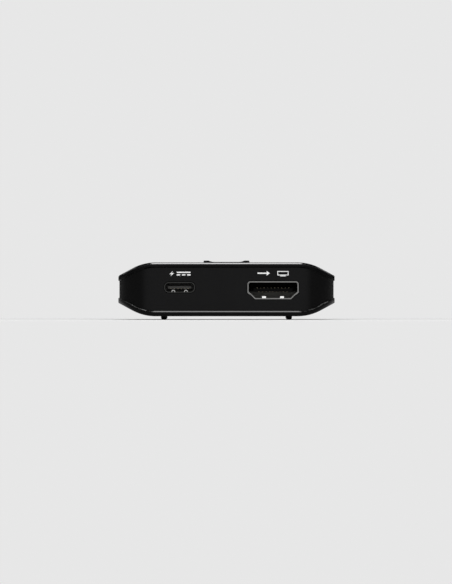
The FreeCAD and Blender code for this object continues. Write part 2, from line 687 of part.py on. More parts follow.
def port_outline(x, grown, bent=True):
    """The stepped outline of an HDMI receptacle, grown from the cavity, clockwise.

    Its upper corners are bent round, or bevelled inside the bend where it isn't bent.
    """
    half = f"(port_half + {grown})"
    top = f"(port_cavity_tall / 2 + {grown})"
    shoulder = f"(port_shoulder + {grown})"
    radius = f"port_corner + {grown}"
    small = "port_corner"
    corner = (radius, 1) if bent else ()
    slant = f"(port_floor_wide / 2 + port_cavity_tall / 2 + ({grown}) * sqrt(2))"
    knee = f"({slant} - {shoulder})"
    floor = f"({slant} - {top})"
    level = "port_level"
    return [
        (f"{x} - {half}", f"{level} - {shoulder} + {small}"),
        (f"{x} - {half}", f"{level} + {top} - ({radius})"),
        (f"{x} - {half} + {radius}", f"{level} + {top}") + corner,
        (f"{x} + {half} - ({radius})", f"{level} + {top}"),
        (f"{x} + {half}", f"{level} + {top} - ({radius})") + corner,
        (f"{x} + {half}", f"{level} - {shoulder} + {small}"),
        (f"{x} + {half} - {small}", f"{level} - {shoulder}"),
        (f"{x} + {knee}", f"{level} - {shoulder}"),
        (f"{x} + {floor}", f"{level} - {top}"),
        (f"{x} - {floor}", f"{level} - {top}"),
        (f"{x} - {knee}", f"{level} - {shoulder}"),
        (f"{x} - {half} + {small}", f"{level} - {shoulder}"),
    ]


def port_shell(name):
    """The stamped shell: a folded tube with two contact springs and four board tabs."""
    body = new_body(name + "_shell")
    tube = sketch_on(body, name + "_tube", "XZ_Plane")
    draw(tube, port_outline("0", "port_wall"))
    draw(tube, port_outline("0", "0"))
    pad(body, tube, "port_deep", flip=True)
    floor = "(port_level - port_cavity_tall / 2)"
    windows = sketch_on(body, name + "_windows", "XY_Plane", f"{floor} + port_wall")
    middle = "port_front_bridge + port_spring_long / 2 + port_window_gap / 2"
    for side in (-1, 1):
        draw(windows, rectangle(f"({side}) * port_spring_side", middle,
                                "port_spring_wide + 2 * port_window_gap",
                                "port_spring_long + port_window_gap"))
    cut(body, windows, "3 * port_wall")
    port_springs(body, name, floor)
    tabs = sketch_on(body, name + "_tabs", "XY_Plane", "board_top")
    legs = sketch_on(body, name + "_legs", "XY_Plane", "board_top + port_wall")
    for side in (-1, 1):
        for pair in (0, 1):
            y = f"port_wing_front + ({pair}) * port_wing_pitch"
            reach = "port_wing_wide + port_wall / 2"
            x = f"({side}) * (port_half + port_wall / 2 + ({reach}) / 2)"
            draw(tabs, rectangle(x, y, reach, "port_wing_long"))
            leg = f"({side}) * (port_half + port_wing_wide + port_wall / 2)"
            draw(legs, rectangle(leg, y, "port_wall", "port_leg_long"))
    pad(body, tabs, "port_wall")
    pad(body, legs, "port_wall + board_thick + port_leg_below", flip=True)
    return body


def port_springs(body, name, floor):
    """Two springs, each a strip that rises from the floor's rear to a steep nose in front."""
    tip = "port_front_bridge + port_window_gap"
    root = f"{tip} + port_spring_long"
    thick = "port_spring_thick"
    crown = f"{tip} + port_spring_nose"
    crest = f"{crown} + 2 * {thick}"
    for side, word in ((-1, "left"), (1, "right")):
        strip = sketch_on(body, f"{name}_spring_{word}", "YZ_Plane",
                          f"({side}) * port_spring_side")
        draw(strip, [
            (tip, f"{floor} - {thick}"),
            (tip, floor),
            (crown, f"{floor} + port_spring_lift"),
            (crest, f"{floor} + port_spring_lift"),
            (f"{root} - {thick}", floor),
            (f"{root} + port_wall", floor),
            (f"{root} + port_wall", f"{floor} - {thick}"),
            (f"{root} - 2 * {thick}", f"{floor} - {thick}"),
            (crest, f"{floor} + port_spring_lift - {thick}"),
            (f"{crown} + {thick}", f"{floor} + port_spring_lift - {thick}"),
            (f"{tip} + {thick}", f"{floor} - {thick}"),
        ])
        pad(body, strip, "port_spring_wide", both=True)


def port_insulator(name):
    """The moulded block with its tongue, grooved for the nineteen contacts."""
    body = new_body(name + "_insulator")
    block = sketch_on(body, name + "_block", "XZ_Plane", "-(port_deep)")
    draw(block, port_outline("0", "-(insulator_gap)", bent=False))
    pad(body, block, "tongue_block")
    tongue = sketch_on(body, name + "_tongue", "XZ_Plane", "-(port_deep)")
    draw(tongue, rectangle("0", "tongue_level", "tongue_wide", "tongue_thick"))
    pad(body, tongue, "port_deep - tongue_recess")
    for row, count, side in (("upper", "contact_upper", 1), ("lower", "contact_lower", -1)):
        groove = sketch_on(body, f"{name}_{row}_groove", "XZ_Plane", "-(port_deep)")
        draw(groove, rectangle(first_contact(count),
                               f"{contact_level(side)} + ({side}) * contact_gap",
                               "contact_wide + 2 * contact_gap",
                               "contact_thick + 2 * contact_gap"))
        feature = cut(body, groove, "port_deep - tongue_recess - contact_tip + contact_gap",
                      flip=True)
        row_of(body, feature, "contact_pitch", count)
    return body


def first_contact(count, pitch="contact_pitch"):
    return f"-({pitch}) * (({count}) - 1) / 2"


def contact_level(side):
    """Middle of a contact strip on the tongue's upper (1) or lower (-1) face."""
    rise = "tongue_thick / 2 + contact_proud - contact_thick / 2"
    return f"(tongue_level + ({side}) * ({rise}))"


def port_contacts(name):
    """Ten upper and nine lower contacts: strips on the tongue that end on the board."""
    body = new_body(name + "_contacts")
    bend = "port_deep + contact_bend"
    start = "tongue_recess + contact_tip"
    for row, count, side in (("upper", "contact_upper", 1), ("lower", "contact_lower", -1)):
        level = contact_level(side)
        strip = sketch_on(body, f"{name}_{row}_contact", "YZ_Plane", first_contact(count))
        draw(strip, [
            (start, f"{level} - contact_thick / 2"),
            (start, f"{level} + contact_thick / 2"),
            (f"{bend} + contact_thick", f"{level} + contact_thick / 2"),
            (f"{bend} + contact_thick", "board_top + contact_thick"),
            (f"{bend} + contact_tail", "board_top + contact_thick"),
            (f"{bend} + contact_tail", "board_top"),
            (bend, "board_top"),
            (bend, f"{level} - contact_thick / 2"),
        ])
        feature = pad(body, strip, "contact_wide", both=True)
        row_of(body, feature, "contact_pitch", count)
    return body


def port(name, x, turned):
    parts = [port_shell(name), port_insulator(name), port_contacts(name)]
    mouth = "port_mouth" if turned else "-(port_mouth)"
    for body in parts:
        place(body, x=x, y=mouth, turned=turned)
    return parts


# The USB-C power inlet, drawn like the receptacles.

def inlet_outline(x, grown):
    """The rounded outline of the power inlet, grown from the shell's outer face."""
    return rounded(x, "inlet_level", f"inlet_wide + 2 * ({grown})",
                   f"inlet_tall + 2 * ({grown})", f"inlet_corner + ({grown})")


def inlet_shell():
    body = new_body("usb_c_shell")
    tube = sketch_on(body, "inlet_tube", "XZ_Plane")
    draw(tube, inlet_outline("0", "0"))
    draw(tube, inlet_outline("0", "-(inlet_wall)"))
    pad(body, tube, "inlet_deep", flip=True)
    arches = sketch_on(body, "inlet_arches", "XZ_Plane", "-(inlet_wall)")
    for side in (-1, 1):
        draw(arches, arch(f"({side}) * inlet_arch_side", "(inlet_arch_wide / 2)",
                          "(inlet_arch_wide / 2 - inlet_wall)"))
    pad(body, arches, "inlet_arch_long", flip=True)
    legs = sketch_on(body, "inlet_legs", "XY_Plane", "inlet_level")
    for side in (-1, 1):
        for pair in (0, 1):
            y = f"inlet_leg_front + ({pair}) * inlet_leg_pitch"
            x = f"({side}) * (inlet_wide - inlet_wall) / 2"
            draw(legs, rectangle(x, y, "inlet_wall", "inlet_leg_long"))
    pad(body, legs, "inlet_level - board_under + port_leg_below", flip=True)
    place(body, x="-(inlet_side)", y="-(port_mouth)")
    return body


def arch(x, outer, inner):
    """The section of a rib pressed up from the floor of the inlet's shell, clockwise."""
    floor = "(inlet_level - inlet_tall / 2 + inlet_wall)"
    root = f"{floor} - inlet_wall / 2"
    return [
        (f"{x} - {outer}", root),
        (f"{x} - {outer}", floor),
        (x, f"{floor} + {outer}", outer, 1),
        (f"{x} + {outer}", floor, outer, 1),
        (f"{x} + {outer}", root),
        (f"{x} + {inner}", root),
        (f"{x} + {inner}", floor),
        (x, f"{floor} + {inner}", inner, -1),
        (f"{x} - {inner}", floor, inner, -1),
        (f"{x} - {inner}", root),
    ]


def inlet_insulator():
    body = new_body("usb_c_insulator")
    block = sketch_on(body, "inlet_block_face", "XZ_Plane", "-(inlet_deep)")
    draw(block, inlet_outline("0", "-(inlet_wall + insulator_gap)"))
    pad(body, block, "inlet_block")
    tongue = sketch_on(body, "inlet_tongue_face", "XZ_Plane", "-(inlet_deep)")
    draw(tongue, rectangle("0", "inlet_level", "inlet_tongue_wide", "inlet_tongue_thick"))
    pad(body, tongue, "inlet_deep - inlet_tongue_recess")
    groove = sketch_on(body, "inlet_groove", "XZ_Plane", "-(inlet_deep)")
    draw(groove, rectangle(first_contact("inlet_contacts", "inlet_pitch"),
                           f"{inlet_contact_level()} - contact_gap",
                           "contact_wide + 2 * contact_gap", "contact_thick + 2 * contact_gap"))
    feature = cut(body, groove, "inlet_deep - inlet_tongue_recess - contact_tip + contact_gap",
                  flip=True)
    row_of(body, feature, "inlet_pitch", "inlet_contacts")
    place(body, x="-(inlet_side)", y="-(port_mouth)")
    return body


def inlet_contact_level():
    return "(inlet_level - inlet_tongue_thick / 2 - contact_proud + contact_thick / 2)"


def inlet_contacts():
    body = new_body("usb_c_contacts")
    level = inlet_contact_level()
    bend = "inlet_deep + contact_bend"
    start = "inlet_tongue_recess + contact_tip"
    strip = sketch_on(body, "inlet_contact", "YZ_Plane",
                      first_contact("inlet_contacts", "inlet_pitch"))
    draw(strip, [
        (start, f"{level} - contact_thick / 2"),
        (start, f"{level} + contact_thick / 2"),
        (f"{bend} + contact_thick", f"{level} + contact_thick / 2"),
        (f"{bend} + contact_thick", "board_top + contact_thick"),
        (f"{bend} + contact_tail", "board_top + contact_thick"),
        (f"{bend} + contact_tail", "board_top"),
        (bend, "board_top"),
        (bend, f"{level} - contact_thick / 2"),
    ])
    feature = pad(body, strip, "contact_wide", both=True)
    row_of(body, feature, "inlet_pitch", "inlet_contacts")
    place(body, x="-(inlet_side)", y="-(port_mouth)")
    return body


# The push button and its switch.

def button_cap():
    """The cap with its finger scoop from front to back, its flange and its stem."""
    body = new_body("button_cap")
    plan = sketch_on(body, "button_plan", "XY_Plane", "flange_under")
    draw(plan, rounded("0", "0", "button_wide", "button_wide", "button_corner"))
    pad(body, plan, "deck_level + button_rise - flange_under")
    top = value("deck_level + button_rise")
    dress(body, "Chamfer", lambda edge: edge.BoundBox.ZMin > top - TOUCHING, "button_bevel")
    crest = "(deck_level + button_rise)"
    bottom = f"({crest} - scoop_depth)"
    run = "((scoop_mouth_wide - scoop_floor_wide) / 2)"
    radius = f"(({run}) ^ 2 + scoop_depth ^ 2) / (2 * scoop_depth)"
    scoop = sketch_on(body, "button_scoop", "XZ_Plane")
    draw(scoop, [
        ("-(scoop_floor_wide) / 2", bottom, radius, -1),
        ("scoop_floor_wide / 2", bottom),
        ("scoop_mouth_wide / 2", crest, radius, -1),
        ("scoop_mouth_wide / 2", f"{crest} + scoop_depth"),
        ("-(scoop_mouth_wide) / 2", f"{crest} + scoop_depth"),
        ("-(scoop_mouth_wide) / 2", crest),
    ])
    cut(body, scoop, "2 * button_wide", both=True)
    flange = sketch_on(body, "button_flange", "XY_Plane", "flange_under")
    wide = "button_wide + 2 * flange_reach"
    draw(flange, rounded("0", "0", wide, wide, "button_corner + flange_reach"))
    pad(body, flange, "flange_thick")
    stem = sketch_on(body, "button_stem", "XY_Plane", "flange_under")
    circle(stem, "0", "0", "stem_wide")
    pad(body, stem, "flange_under - plunger_top - stem_gap", flip=True)
    return body


def switch_base():
    body = new_body("switch_base")
    plan = sketch_on(body, "switch_plan", "XY_Plane", "board_top")
    draw(plan, rectangle("0", "0", "switch_wide", "switch_wide"))
    pad(body, plan, "switch_base_tall")
    well = sketch_on(body, "switch_well", "XY_Plane", "board_top + switch_base_tall")
    circle(well, "0", "0", "switch_well_wide")
    cut(body, well, "switch_base_tall - switch_floor")
    return body


def switch_plate():
    """The plate that keeps the plunger in, with a clasp down the front and the rear."""
    body = new_body("switch_plate")
    plan = sketch_on(body, "plate_plan", "XY_Plane", "board_top + switch_base_tall")
    draw(plan, rectangle("0", "0", "switch_wide", "switch_wide + 2 * switch_plate"))
    circle(plan, "0", "0", "plunger_wide + 2 * plunger_gap")
    pad(body, plan, "switch_plate")
    clasps = sketch_on(body, "plate_clasps", "XY_Plane", "board_top + switch_base_tall")
    for end in (-1, 1):
        draw(clasps, rectangle("0", f"({end}) * (switch_wide + switch_plate) / 2",
                               "clasp_wide", "switch_plate"))
    pad(body, clasps, "clasp_deep", flip=True)
    return body


def switch_terminals():
    """Four bent terminals that carry the switch on the board."""
    body = new_body("switch_terminals")
    for side, word in ((-1, "left"), (1, "right")):
        for end, place_word in ((-1, "front"), (1, "rear")):
            strip = sketch_on(body, f"terminal_{word}_{place_word}", "XZ_Plane",
                              f"({end}) * terminal_side")
            wall = "(switch_wide / 2)"
            bend = f"({wall} + terminal_thick)"
            reach = f"({wall} + terminal_reach)"
            outline = [
                (wall, "board_top"),
                (wall, "board_top + terminal_root"),
                (bend, "board_top + terminal_root"),
                (bend, "board_top + terminal_thick"),
                (reach, "board_top + terminal_thick"),
                (reach, "board_top"),
            ]
            draw(strip, [(f"({side}) * {x}", z) for x, z in outline])
            pad(body, strip, "terminal_wide", both=True)
    return body


def switch_plunger():
    body = new_body("switch_plunger")
    section = sketch_on(body, "plunger_section", "XZ_Plane")
    under = "(board_top + switch_floor + dome_tall + dome_gap)"
    shoulder = "(board_top + switch_base_tall - plunger_gap)"
    draw(section, [
        ("0", under),
        ("0", "plunger_top"),
        ("plunger_wide / 2", "plunger_top"),
        ("plunger_wide / 2", shoulder),
        ("plunger_flange_wide / 2", shoulder),
        ("plunger_flange_wide / 2", under),
    ])
    revolve(body, section)
    return body


def switch_dome():
    """The thin dished disc that gives the click and pushes the plunger back."""
    body = new_body("switch_dome")
    section = sketch_on(body, "dome_section", "XZ_Plane")
    base = "(board_top + switch_floor)"
    rim = "dome_thick * (dome_wide - dome_crown) / 2 / dome_tall"
    draw(section, [
        ("0", f"{base} + dome_tall"),
        ("dome_crown / 2", f"{base} + dome_tall"),
        ("dome_wide / 2", base),
        (f"dome_wide / 2 - {rim}", base),
        ("dome_crown / 2", f"{base} + dome_tall - dome_thick"),
        ("0", f"{base} + dome_tall - dome_thick"),
    ])
    revolve(body, section)
    return body


# The chips and small parts.

def block(label, wide, deep, tall, x, y, level="board_top", bevel=None):
    """One moulded or ceramic block on the board, with a bevelled top where it has one."""
    body = new_body(label)
    plan = sketch_on(body, label + "_plan", "XY_Plane", level)
    draw(plan, rectangle("0", "0", wide, deep))
    pad(body, plan, tall)
    if bevel:
        top = value(f"{level} + {tall}")
        dress(body, "Chamfer", lambda edge: edge.BoundBox.ZMin > top - TOUCHING, bevel)
    place(body, x=x, y=y)
    return body


def blocks(label, wide, deep, tall, places):
    """A group of equal blocks on the board."""
    body = new_body(label)
    plan = sketch_on(body, label + "_plan", "XY_Plane", "board_top")
    for x, y in places:
        draw(plan, rectangle(x, y, wide, deep))
    pad(body, plan, tall)
    return body


def heat_sink():
    body = new_body("heat_sink")
    base = sketch_on(body, "sink_base_plan", "XY_Plane", "pad_top")
    draw(base, rectangle("0", "0", "sink_wide", "sink_deep"))
    pad(body, base, "sink_base")
    fin = sketch_on(body, "sink_fin_plan", "XY_Plane", "pad_top + sink_base")
    draw(fin, rectangle("-(sink_wide - sink_fin_thick) / 2", "0", "sink_fin_thick", "sink_deep"))
    feature = pad(body, fin, "sink_fin_tall")
    row_of(body, feature, "(sink_wide - sink_fin_thick) / (sink_fins - 1)", "sink_fins")
    place(body, x="chip_side")
    return body


def small_row(x, y, along_x):
    """Places of a row of small parts about a middle point."""
    places = []
    for index in range(int(value("small_count"))):
        step = f"({index} - (small_count - 1) / 2) * small_pitch"
        places.append((f"{x} + {step}", y) if along_x else (x, f"{y} + {step}"))
    return places


def guard_places():
    places = []
    for name, x, turned in port_seats():
        way = 1 if turned else -1
        y = f"({way}) * (port_mouth - port_deep - guard_behind)"
        for side in (-1, 1):
            places.append((f"{x} + ({side}) * guard_pitch / 2", y))
    return places


def board_parts():
    left = "-(chip_side)"
    block("splitter_chip", "chip_wide", "chip_wide", "chip_tall", "chip_side", "0",
          bevel="chip_bevel")
    block("thermal_pad", "chip_wide", "chip_wide", "pad_thick", "chip_side", "0", level="chip_top")
    heat_sink()
    block("power_inductor", "coil_wide", "coil_wide", "coil_tall", left, "coil_back",
          bevel="coil_bevel")
    block("voltage_regulator", "regulator_wide", "regulator_deep", "regulator_tall", left,
          "regulator_back", bevel="chip_bevel")
    block("memory_chip", "memory_wide", "memory_deep", "memory_tall", left, "memory_back",
          bevel="chip_bevel")
    block("crystal", "crystal_wide", "crystal_deep", "crystal_tall", "crystal_side",
          "crystal_back", bevel="chip_bevel")
    blocks("tank_capacitors", "tank_wide", "tank_deep", "tank_tall",
           [("-(tank_side)", f"-(tank_back) + ({step}) * tank_pitch / 2") for step in (-1, 1)])
    blocks("ceramic_capacitors", "small_deep", "small_wide", "small_tall",
           small_row("chip_side", "-(chip_wide) / 2 - small_pitch", along_x=True)
           + small_row("chip_side", "chip_wide / 2 + small_pitch", along_x=True))
    blocks("resistors", "small_wide", "small_deep", "resistor_tall",
           small_row("tank_side", "tank_back", along_x=False))
    blocks("surge_guards", "guard_wide", "guard_deep", "guard_tall", guard_places())


# The power light.

def light_lens():
    """A clear stalk from the lamp up through the top cover, held by its own shoulder."""
    body = new_body("light_lens")
    section = sketch_on(body, "lens_section", "XZ_Plane")
    foot = "(board_top + lamp_tall + lamp_gap)"
    draw(section, [
        ("0", foot),
        ("0", "deck_level"),
        ("light_wide / 2", "deck_level"),
        ("light_wide / 2", "ceiling_level"),
        ("light_stalk_wide / 2", "ceiling_level"),
        ("light_stalk_wide / 2", foot),
    ])
    revolve(body, section)
    place(body, y="light_back")
    return body


def write_parts():
    """Check every object, then write each sub-part to a file named after it."""
    document.recompute()
    for item in document.Objects:
        bad = [state for state in item.State if state in ("Invalid", "Error")]
        if bad:
            raise RuntimeError(f"{item.Label} is {bad}")
    bodies = [item for item in document.Objects if item.TypeId == "PartDesign::Body"]
    for body in bodies:
        if body.Shape.isNull() or not body.Shape.isValid():
            raise RuntimeError(body.Label + " has no valid shape")
    os.makedirs("parts", exist_ok=True)
    for body in bodies:
        body.Shape.exportStep(f"parts/{body.Label}.step")
        print(body.Label, len(body.Shape.Solids), round(body.Shape.Volume, 2))


fill_sheet()
top_cover()
bottom_cover()
middle_frame()
foot_strip("left_foot_strip", -1)
foot_strip("right_foot_strip", 1)
cover_screws()
circuit_board()
for seat in port_seats():
    port(*seat)
inlet_shell()
inlet_insulator()
inlet_contacts()
button_cap()
switch_base()
switch_plate()
switch_terminals()
switch_plunger()
switch_dome()
board_parts()
block("power_lamp", "lamp_wide", "lamp_deep", "lamp_tall", "0", "light_back")
light_lens()
write_parts()
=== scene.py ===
import math

import bmesh
import bpy
from bpy.props import FloatProperty, FloatVectorProperty, PointerProperty
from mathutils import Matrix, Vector


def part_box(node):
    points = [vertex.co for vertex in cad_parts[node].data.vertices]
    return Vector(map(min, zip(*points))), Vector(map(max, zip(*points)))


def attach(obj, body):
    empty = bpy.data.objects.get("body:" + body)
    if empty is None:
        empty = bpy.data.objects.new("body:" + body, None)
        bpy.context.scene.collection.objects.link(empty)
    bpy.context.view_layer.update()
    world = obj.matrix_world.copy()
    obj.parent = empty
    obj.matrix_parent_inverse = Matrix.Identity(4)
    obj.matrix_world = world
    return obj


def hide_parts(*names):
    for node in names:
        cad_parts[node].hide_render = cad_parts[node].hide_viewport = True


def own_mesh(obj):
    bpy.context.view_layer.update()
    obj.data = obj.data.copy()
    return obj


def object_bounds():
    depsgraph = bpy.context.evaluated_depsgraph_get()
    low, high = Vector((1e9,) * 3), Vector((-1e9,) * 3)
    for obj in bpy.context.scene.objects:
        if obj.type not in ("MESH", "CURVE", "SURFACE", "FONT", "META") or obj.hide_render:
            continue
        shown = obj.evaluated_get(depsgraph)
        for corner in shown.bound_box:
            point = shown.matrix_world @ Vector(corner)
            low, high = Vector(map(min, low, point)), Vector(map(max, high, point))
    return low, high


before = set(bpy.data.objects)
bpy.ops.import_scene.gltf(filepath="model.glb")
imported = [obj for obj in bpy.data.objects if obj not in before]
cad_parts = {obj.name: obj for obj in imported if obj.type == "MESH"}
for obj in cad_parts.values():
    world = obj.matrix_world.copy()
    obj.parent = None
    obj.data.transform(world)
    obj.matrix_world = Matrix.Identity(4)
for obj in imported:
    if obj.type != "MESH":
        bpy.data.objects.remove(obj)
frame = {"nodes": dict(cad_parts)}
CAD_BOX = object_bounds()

bl_info = {
    "name": "Video splitter dressing",
    "version": (1, 0, 0),
    "blender": (4, 5, 0),
    "location": "3D View > Sidebar > Splitter",
    "description": "Finishes, screws, printed marks and a studio for a small video splitter",
    "category": "Object",
}

MM = 0.001
MICRON = 0.000001
NODES = frame["nodes"]
INPUT = "hdmi_in"
OUTPUTS = ("hdmi_out_1", "hdmi_out_2")
INLET = "usb_c"

# Sizes that the frame has: the screws, where the covers' side tips begin, and the level of
# the middle of the case.
SCREW_HEAD_WIDE = 3.5 * MM
SCREW_HEAD_TALL = 1.3 * MM
SCREW_SHANK_WIDE = 2.0 * MM
SIDE_TIPS = 30.4 * MM
CASE_LEVEL = 8.7 * MM

# How far up the normals of the covers' inner bevel point; flatter faces point higher.
BEVEL_RISE = (0.5, 0.8)

# How much of its own brightness the surround lights the case with.
SURROUND_LIGHT = 0.86
# Distances from the middle of the floor, in metres: between the first two the light under
# the case fades out, and between the others the floor turns from lit to plain.
LIT_FLOOR = (0.016, 0.026)
PLAIN_FLOOR = (0.06, 0.22)

# The picture in pixels, and where the case stands in it.
PICTURE_WIDE = 452
PICTURE_TALL = 584
PIXELS = 3.5 / MM
CASE_X = 226.5
CASE_Y = 289.35


# Sizes and colours.

def length(name, description, millimetres):
    """A size of the panel, kept in metres and written here in millimetres."""
    return FloatProperty(name=name, description=description, default=millimetres * MM,
                         min=0.0, unit="LENGTH", precision=5)


def tint(name, description, *default):
    """A linear colour."""
    return FloatVectorProperty(name=name, description=description, default=default,
                               min=0.0, max=1.0, size=3, subtype="COLOR")


class SplitterSizes(bpy.types.PropertyGroup):
    """Sizes of what is modelled around the frame."""

    recess_wide: length("Recess width", "Tip to tip width of a screw's cross recess", 2.0)
    recess_slot: length("Recess slot", "Width of one slot of the cross recess", 0.42)
    recess_deep: length("Recess depth", "Depth of the cross recess", 0.75)
    head_round: length("Head rounding", "Rounding of a screw head's edge", 0.22)
    ink_thick: length("Ink thickness", "Height of the printed marks on the plastic", 0.02)
    mark_tall: length("Mark height", "Height of the printed marks", 1.45)
    mark_line: length("Mark line", "Width of the lines in the printed marks", 0.36)
    mark_level: length("Mark level", "Middle of the marks above the table", 13.2)
    rim_round: length("Rim rounding", "Rounding on both sides of the covers' outer bevel", 0.25)
    window_round: length("Window rounding", "Rounding round the button's opening", 0.12)
    foot_round: length("Foot rounding", "Rounding of the foot strips' undersides", 0.5)
    rim_bevel: length("Rim bevel", "Outer bevel of the covers as the frame has it", 0.55)
    tip_bevel: length("Tip bevel", "What stays of that bevel at the covers' side tips", 0.15)
    lip_lean: length("Lip lean", "How far the bottom cover's inner bevel is stood up", 0.15)
    lip_lift: length("Lip lift", "How far that bevel is raised", 0.05)
    lip_reach: length("Lip reach", "Where that ends, from the middle to the sides", 29.0)
    gasket_gap: length("Gasket width", "Gap between a receptacle and the frame", 0.2)
    gasket_deep: length("Gasket depth", "Gaskets front to back", 1.0)
    gasket_recess: length("Gasket recess", "Gaskets behind the frame's face", 0.3)
    flap_tall: length("Flap height", "Flap folded down behind a receptacle's shell", 0.8)
    flap_thick: length("Flap thickness", "Sheet of that flap", 0.2)
    button_travel: length("Button travel", "How far the button goes down", 0.3)
    camera_away: length("Camera distance", "Camera from the front of the case", 3000.0)


class SplitterColours(bpy.types.PropertyGroup):
    """Colours of the finishes and of the studio."""

    cover: tint("Covers", "Anodised skin of both covers", 0.0025, 0.0025, 0.0027)
    frame: tint("Frame", "Moulded plastic of the middle frame", 0.0055, 0.0055, 0.0057)
    button: tint("Button", "Moulded plastic of the button", 0.009, 0.009, 0.010)
    rubber: tint("Rubber", "Foot strips", 0.010, 0.010, 0.010)
    shell: tint("Shells", "Plated sheet of the receptacles", 0.25, 0.25, 0.245)
    gold: tint("Contacts", "Thin gold plate on the contacts", 0.55, 0.47, 0.33)
    ink: tint("Ink", "Printed marks", 0.86, 0.86, 0.86)
    backdrop: tint("Backdrop", "Floor and background", 0.80, 0.80, 0.80)


def sizes():
    """The panel's sizes."""
    return bpy.context.scene.splitter_sizes


def colours():
    """The panel's colours."""
    return bpy.context.scene.splitter_colours


# Shader arithmetic.

class Wire:
    """An output in a node tree, on which sums are written as plain expressions."""

    def __init__(self, tree, output=None):
        self.tree = tree
        self.output = output

    def node(self, kind, inputs=None, output=0, **settings):
        """Adds one node: its settings come first, then its sockets' values or links."""
        made = self.tree.nodes.new(kind)
        for name, value in settings.items():
            setattr(made, name, value)
        for key, value in (inputs or {}).items():
            socket = made.inputs[key]
            if isinstance(value, Wire):
                self.tree.links.new(value.output, socket)
            elif socket.type == "RGBA":
                socket.default_value = (*value, 1.0)
            else:
                socket.default_value = value
        return Wire(self.tree, made.outputs[output] if made.outputs else None)

    def also(self, output):
        """Another output of the same node."""
        return Wire(self.tree, self.output.node.outputs[output])

    def sum(self, operation, *terms):
        """A Math node on wires and numbers."""
        return self.node("ShaderNodeMath", dict(enumerate(terms)), operation=operation)

    def between(self, low, high):
        """0 below low, 1 above high, and a smooth step in the middle."""
        ends = {"Value": self, "From Min": low, "From Max": high}
        return self.node("ShaderNodeMapRange", ends, interpolation_type="SMOOTHSTEP")

    def mix(self, first, second):
        """The first colour where this wire is 0, and the second where it is 1."""
        return self.node("ShaderNodeMix", {0: self, 6: first, 7: second}, output=2,
                         data_type="RGBA")

    def __add__(self, other):
        return self.sum("ADD", self, other)

    def __sub__(self, other):
        return self.sum("SUBTRACT", self, other)

    def __rsub__(self, other):
        return self.sum("SUBTRACT", other, self)

    def __mul__(self, other):
        return self.sum("MULTIPLY", self, other)

    def __abs__(self):
        return self.sum("ABSOLUTE", self)

    __radd__ = __add__
    __rmul__ = __mul__


def empty_tree(owner):
    """Empties the node tree of a material or a world, and starts a wire in it."""
    owner.use_nodes = True
    owner.node_tree.nodes.clear()
    return Wire(owner.node_tree)


def place(start, axis=None, of="Object"):
    """The point's place in the frame, or one coordinate of it, or of the normal."""
    here = start.node("ShaderNodeTexCoord", output=of)
    if axis is None:
        return here
    return start.node("ShaderNodeSeparateXYZ", {0: here}, output=axis)


def grain(start, cells, detail=2.0, stretch=(1.0, 1.0, 1.0)):
    """Noise with so many cells in a millimetre, longer along the axes with a small stretch."""
    spot = start.node("ShaderNodeMapping", {"Vector": place(start), "Scale": stretch})
    return start.node("ShaderNodeTexNoise",
                      {"Vector": spot, "Scale": cells / MM, "Detail": detail})


def bumped(start, height, strength, microns):
    """A bump of so many microns."""
    return start.node("ShaderNodeBump", {"Height": height, "Strength": strength,
                                         "Distance": microns * MICRON})


def shaded(colour, factor):
    """The same colour, lighter or darker."""
    return tuple(min(1.0, part * factor) for part in colour)


def material(name, recipe):
    """A material of one Principled surface, whose sockets come from a recipe."""
    made = bpy.data.materials.new(name)
    start = empty_tree(made)
    surface = start.node("ShaderNodeBsdfPrincipled", recipe(start))
    start.node("ShaderNodeOutputMaterial", {"Surface": surface})
    return made


def one_grain(cells, detail, pair, rough, relief, stretch=(1.0, 1.0, 1.0), **more):
    """A recipe whose one grain varies the colour, the roughness and the relief.

    pair holds the two colours, rough the least roughness and how far it rises, relief the
    bump's strength and its microns, and more the other sockets, with _ for a space.
    """
    def recipe(start):
        flow = grain(start, cells, detail, stretch)
        sockets = {
            "Base Color": flow.mix(*pair),
            "Roughness": rough[0] + flow * rough[1],
            "Normal": bumped(start, flow, *relief),
        }
        for name, value in more.items():
            sockets[name.replace("_", " ")] = value
        return sockets

    return recipe


# Finishes of the case.

def cover_finish(start, low=0.56, high=0.76):
    """Black anodised plate, blasted matt, and polished where it slopes between two rises."""
    blast = grain(start, cells=12, detail=3)
    cloud = grain(start, cells=0.12, detail=4)
    rise = place(start, "Z", of="Normal")
    fade = 0.03
    polish = (rise.between(low - fade, low + fade)
              * (1 - rise.between(high - fade, high + fade)))
    colour = colours().cover
    return {
        "Base Color": cloud.mix(shaded(colour, 0.8), shaded(colour, 1.3)),
        "Roughness": 0.3 + blast * 0.1,
        "Specular IOR Level": 0.07,
        "Coat Weight": polish,
        "Coat Roughness": 0.15,
        "Normal": bumped(start, blast, 0.25, 5),
    }


def lower_cover_finish(start):
    """The same plate, polished on its steeper inner bevel."""
    return cover_finish(start, low=0.25, high=0.55)


def frame_finish(start):
    """Fine spark-eroded texture of a black moulding, with painted shade darkening every side
    that is not turned to the front or rear.
    """
    spark = grain(start, cells=9, detail=4)
    cloud = grain(start, cells=0.1, detail=3)
    # Painted shade: faces not turned to the front or rear take the moulding's colour at 0.3 of
    # itself.
    flat = abs(place(start, "Y", of="Normal")).between(0.92, 0.985)
    colour = colours().frame
    faces = cloud.mix(shaded(colour, 0.85), shaded(colour, 1.2))
    return {
        "Base Color": flat.mix(shaded(colour, 0.3), faces),
        "Roughness": 0.4 + spark * 0.15,
        "Specular IOR Level": 0.08,
        "Normal": bumped(start, spark, 0.3, 8),
    }


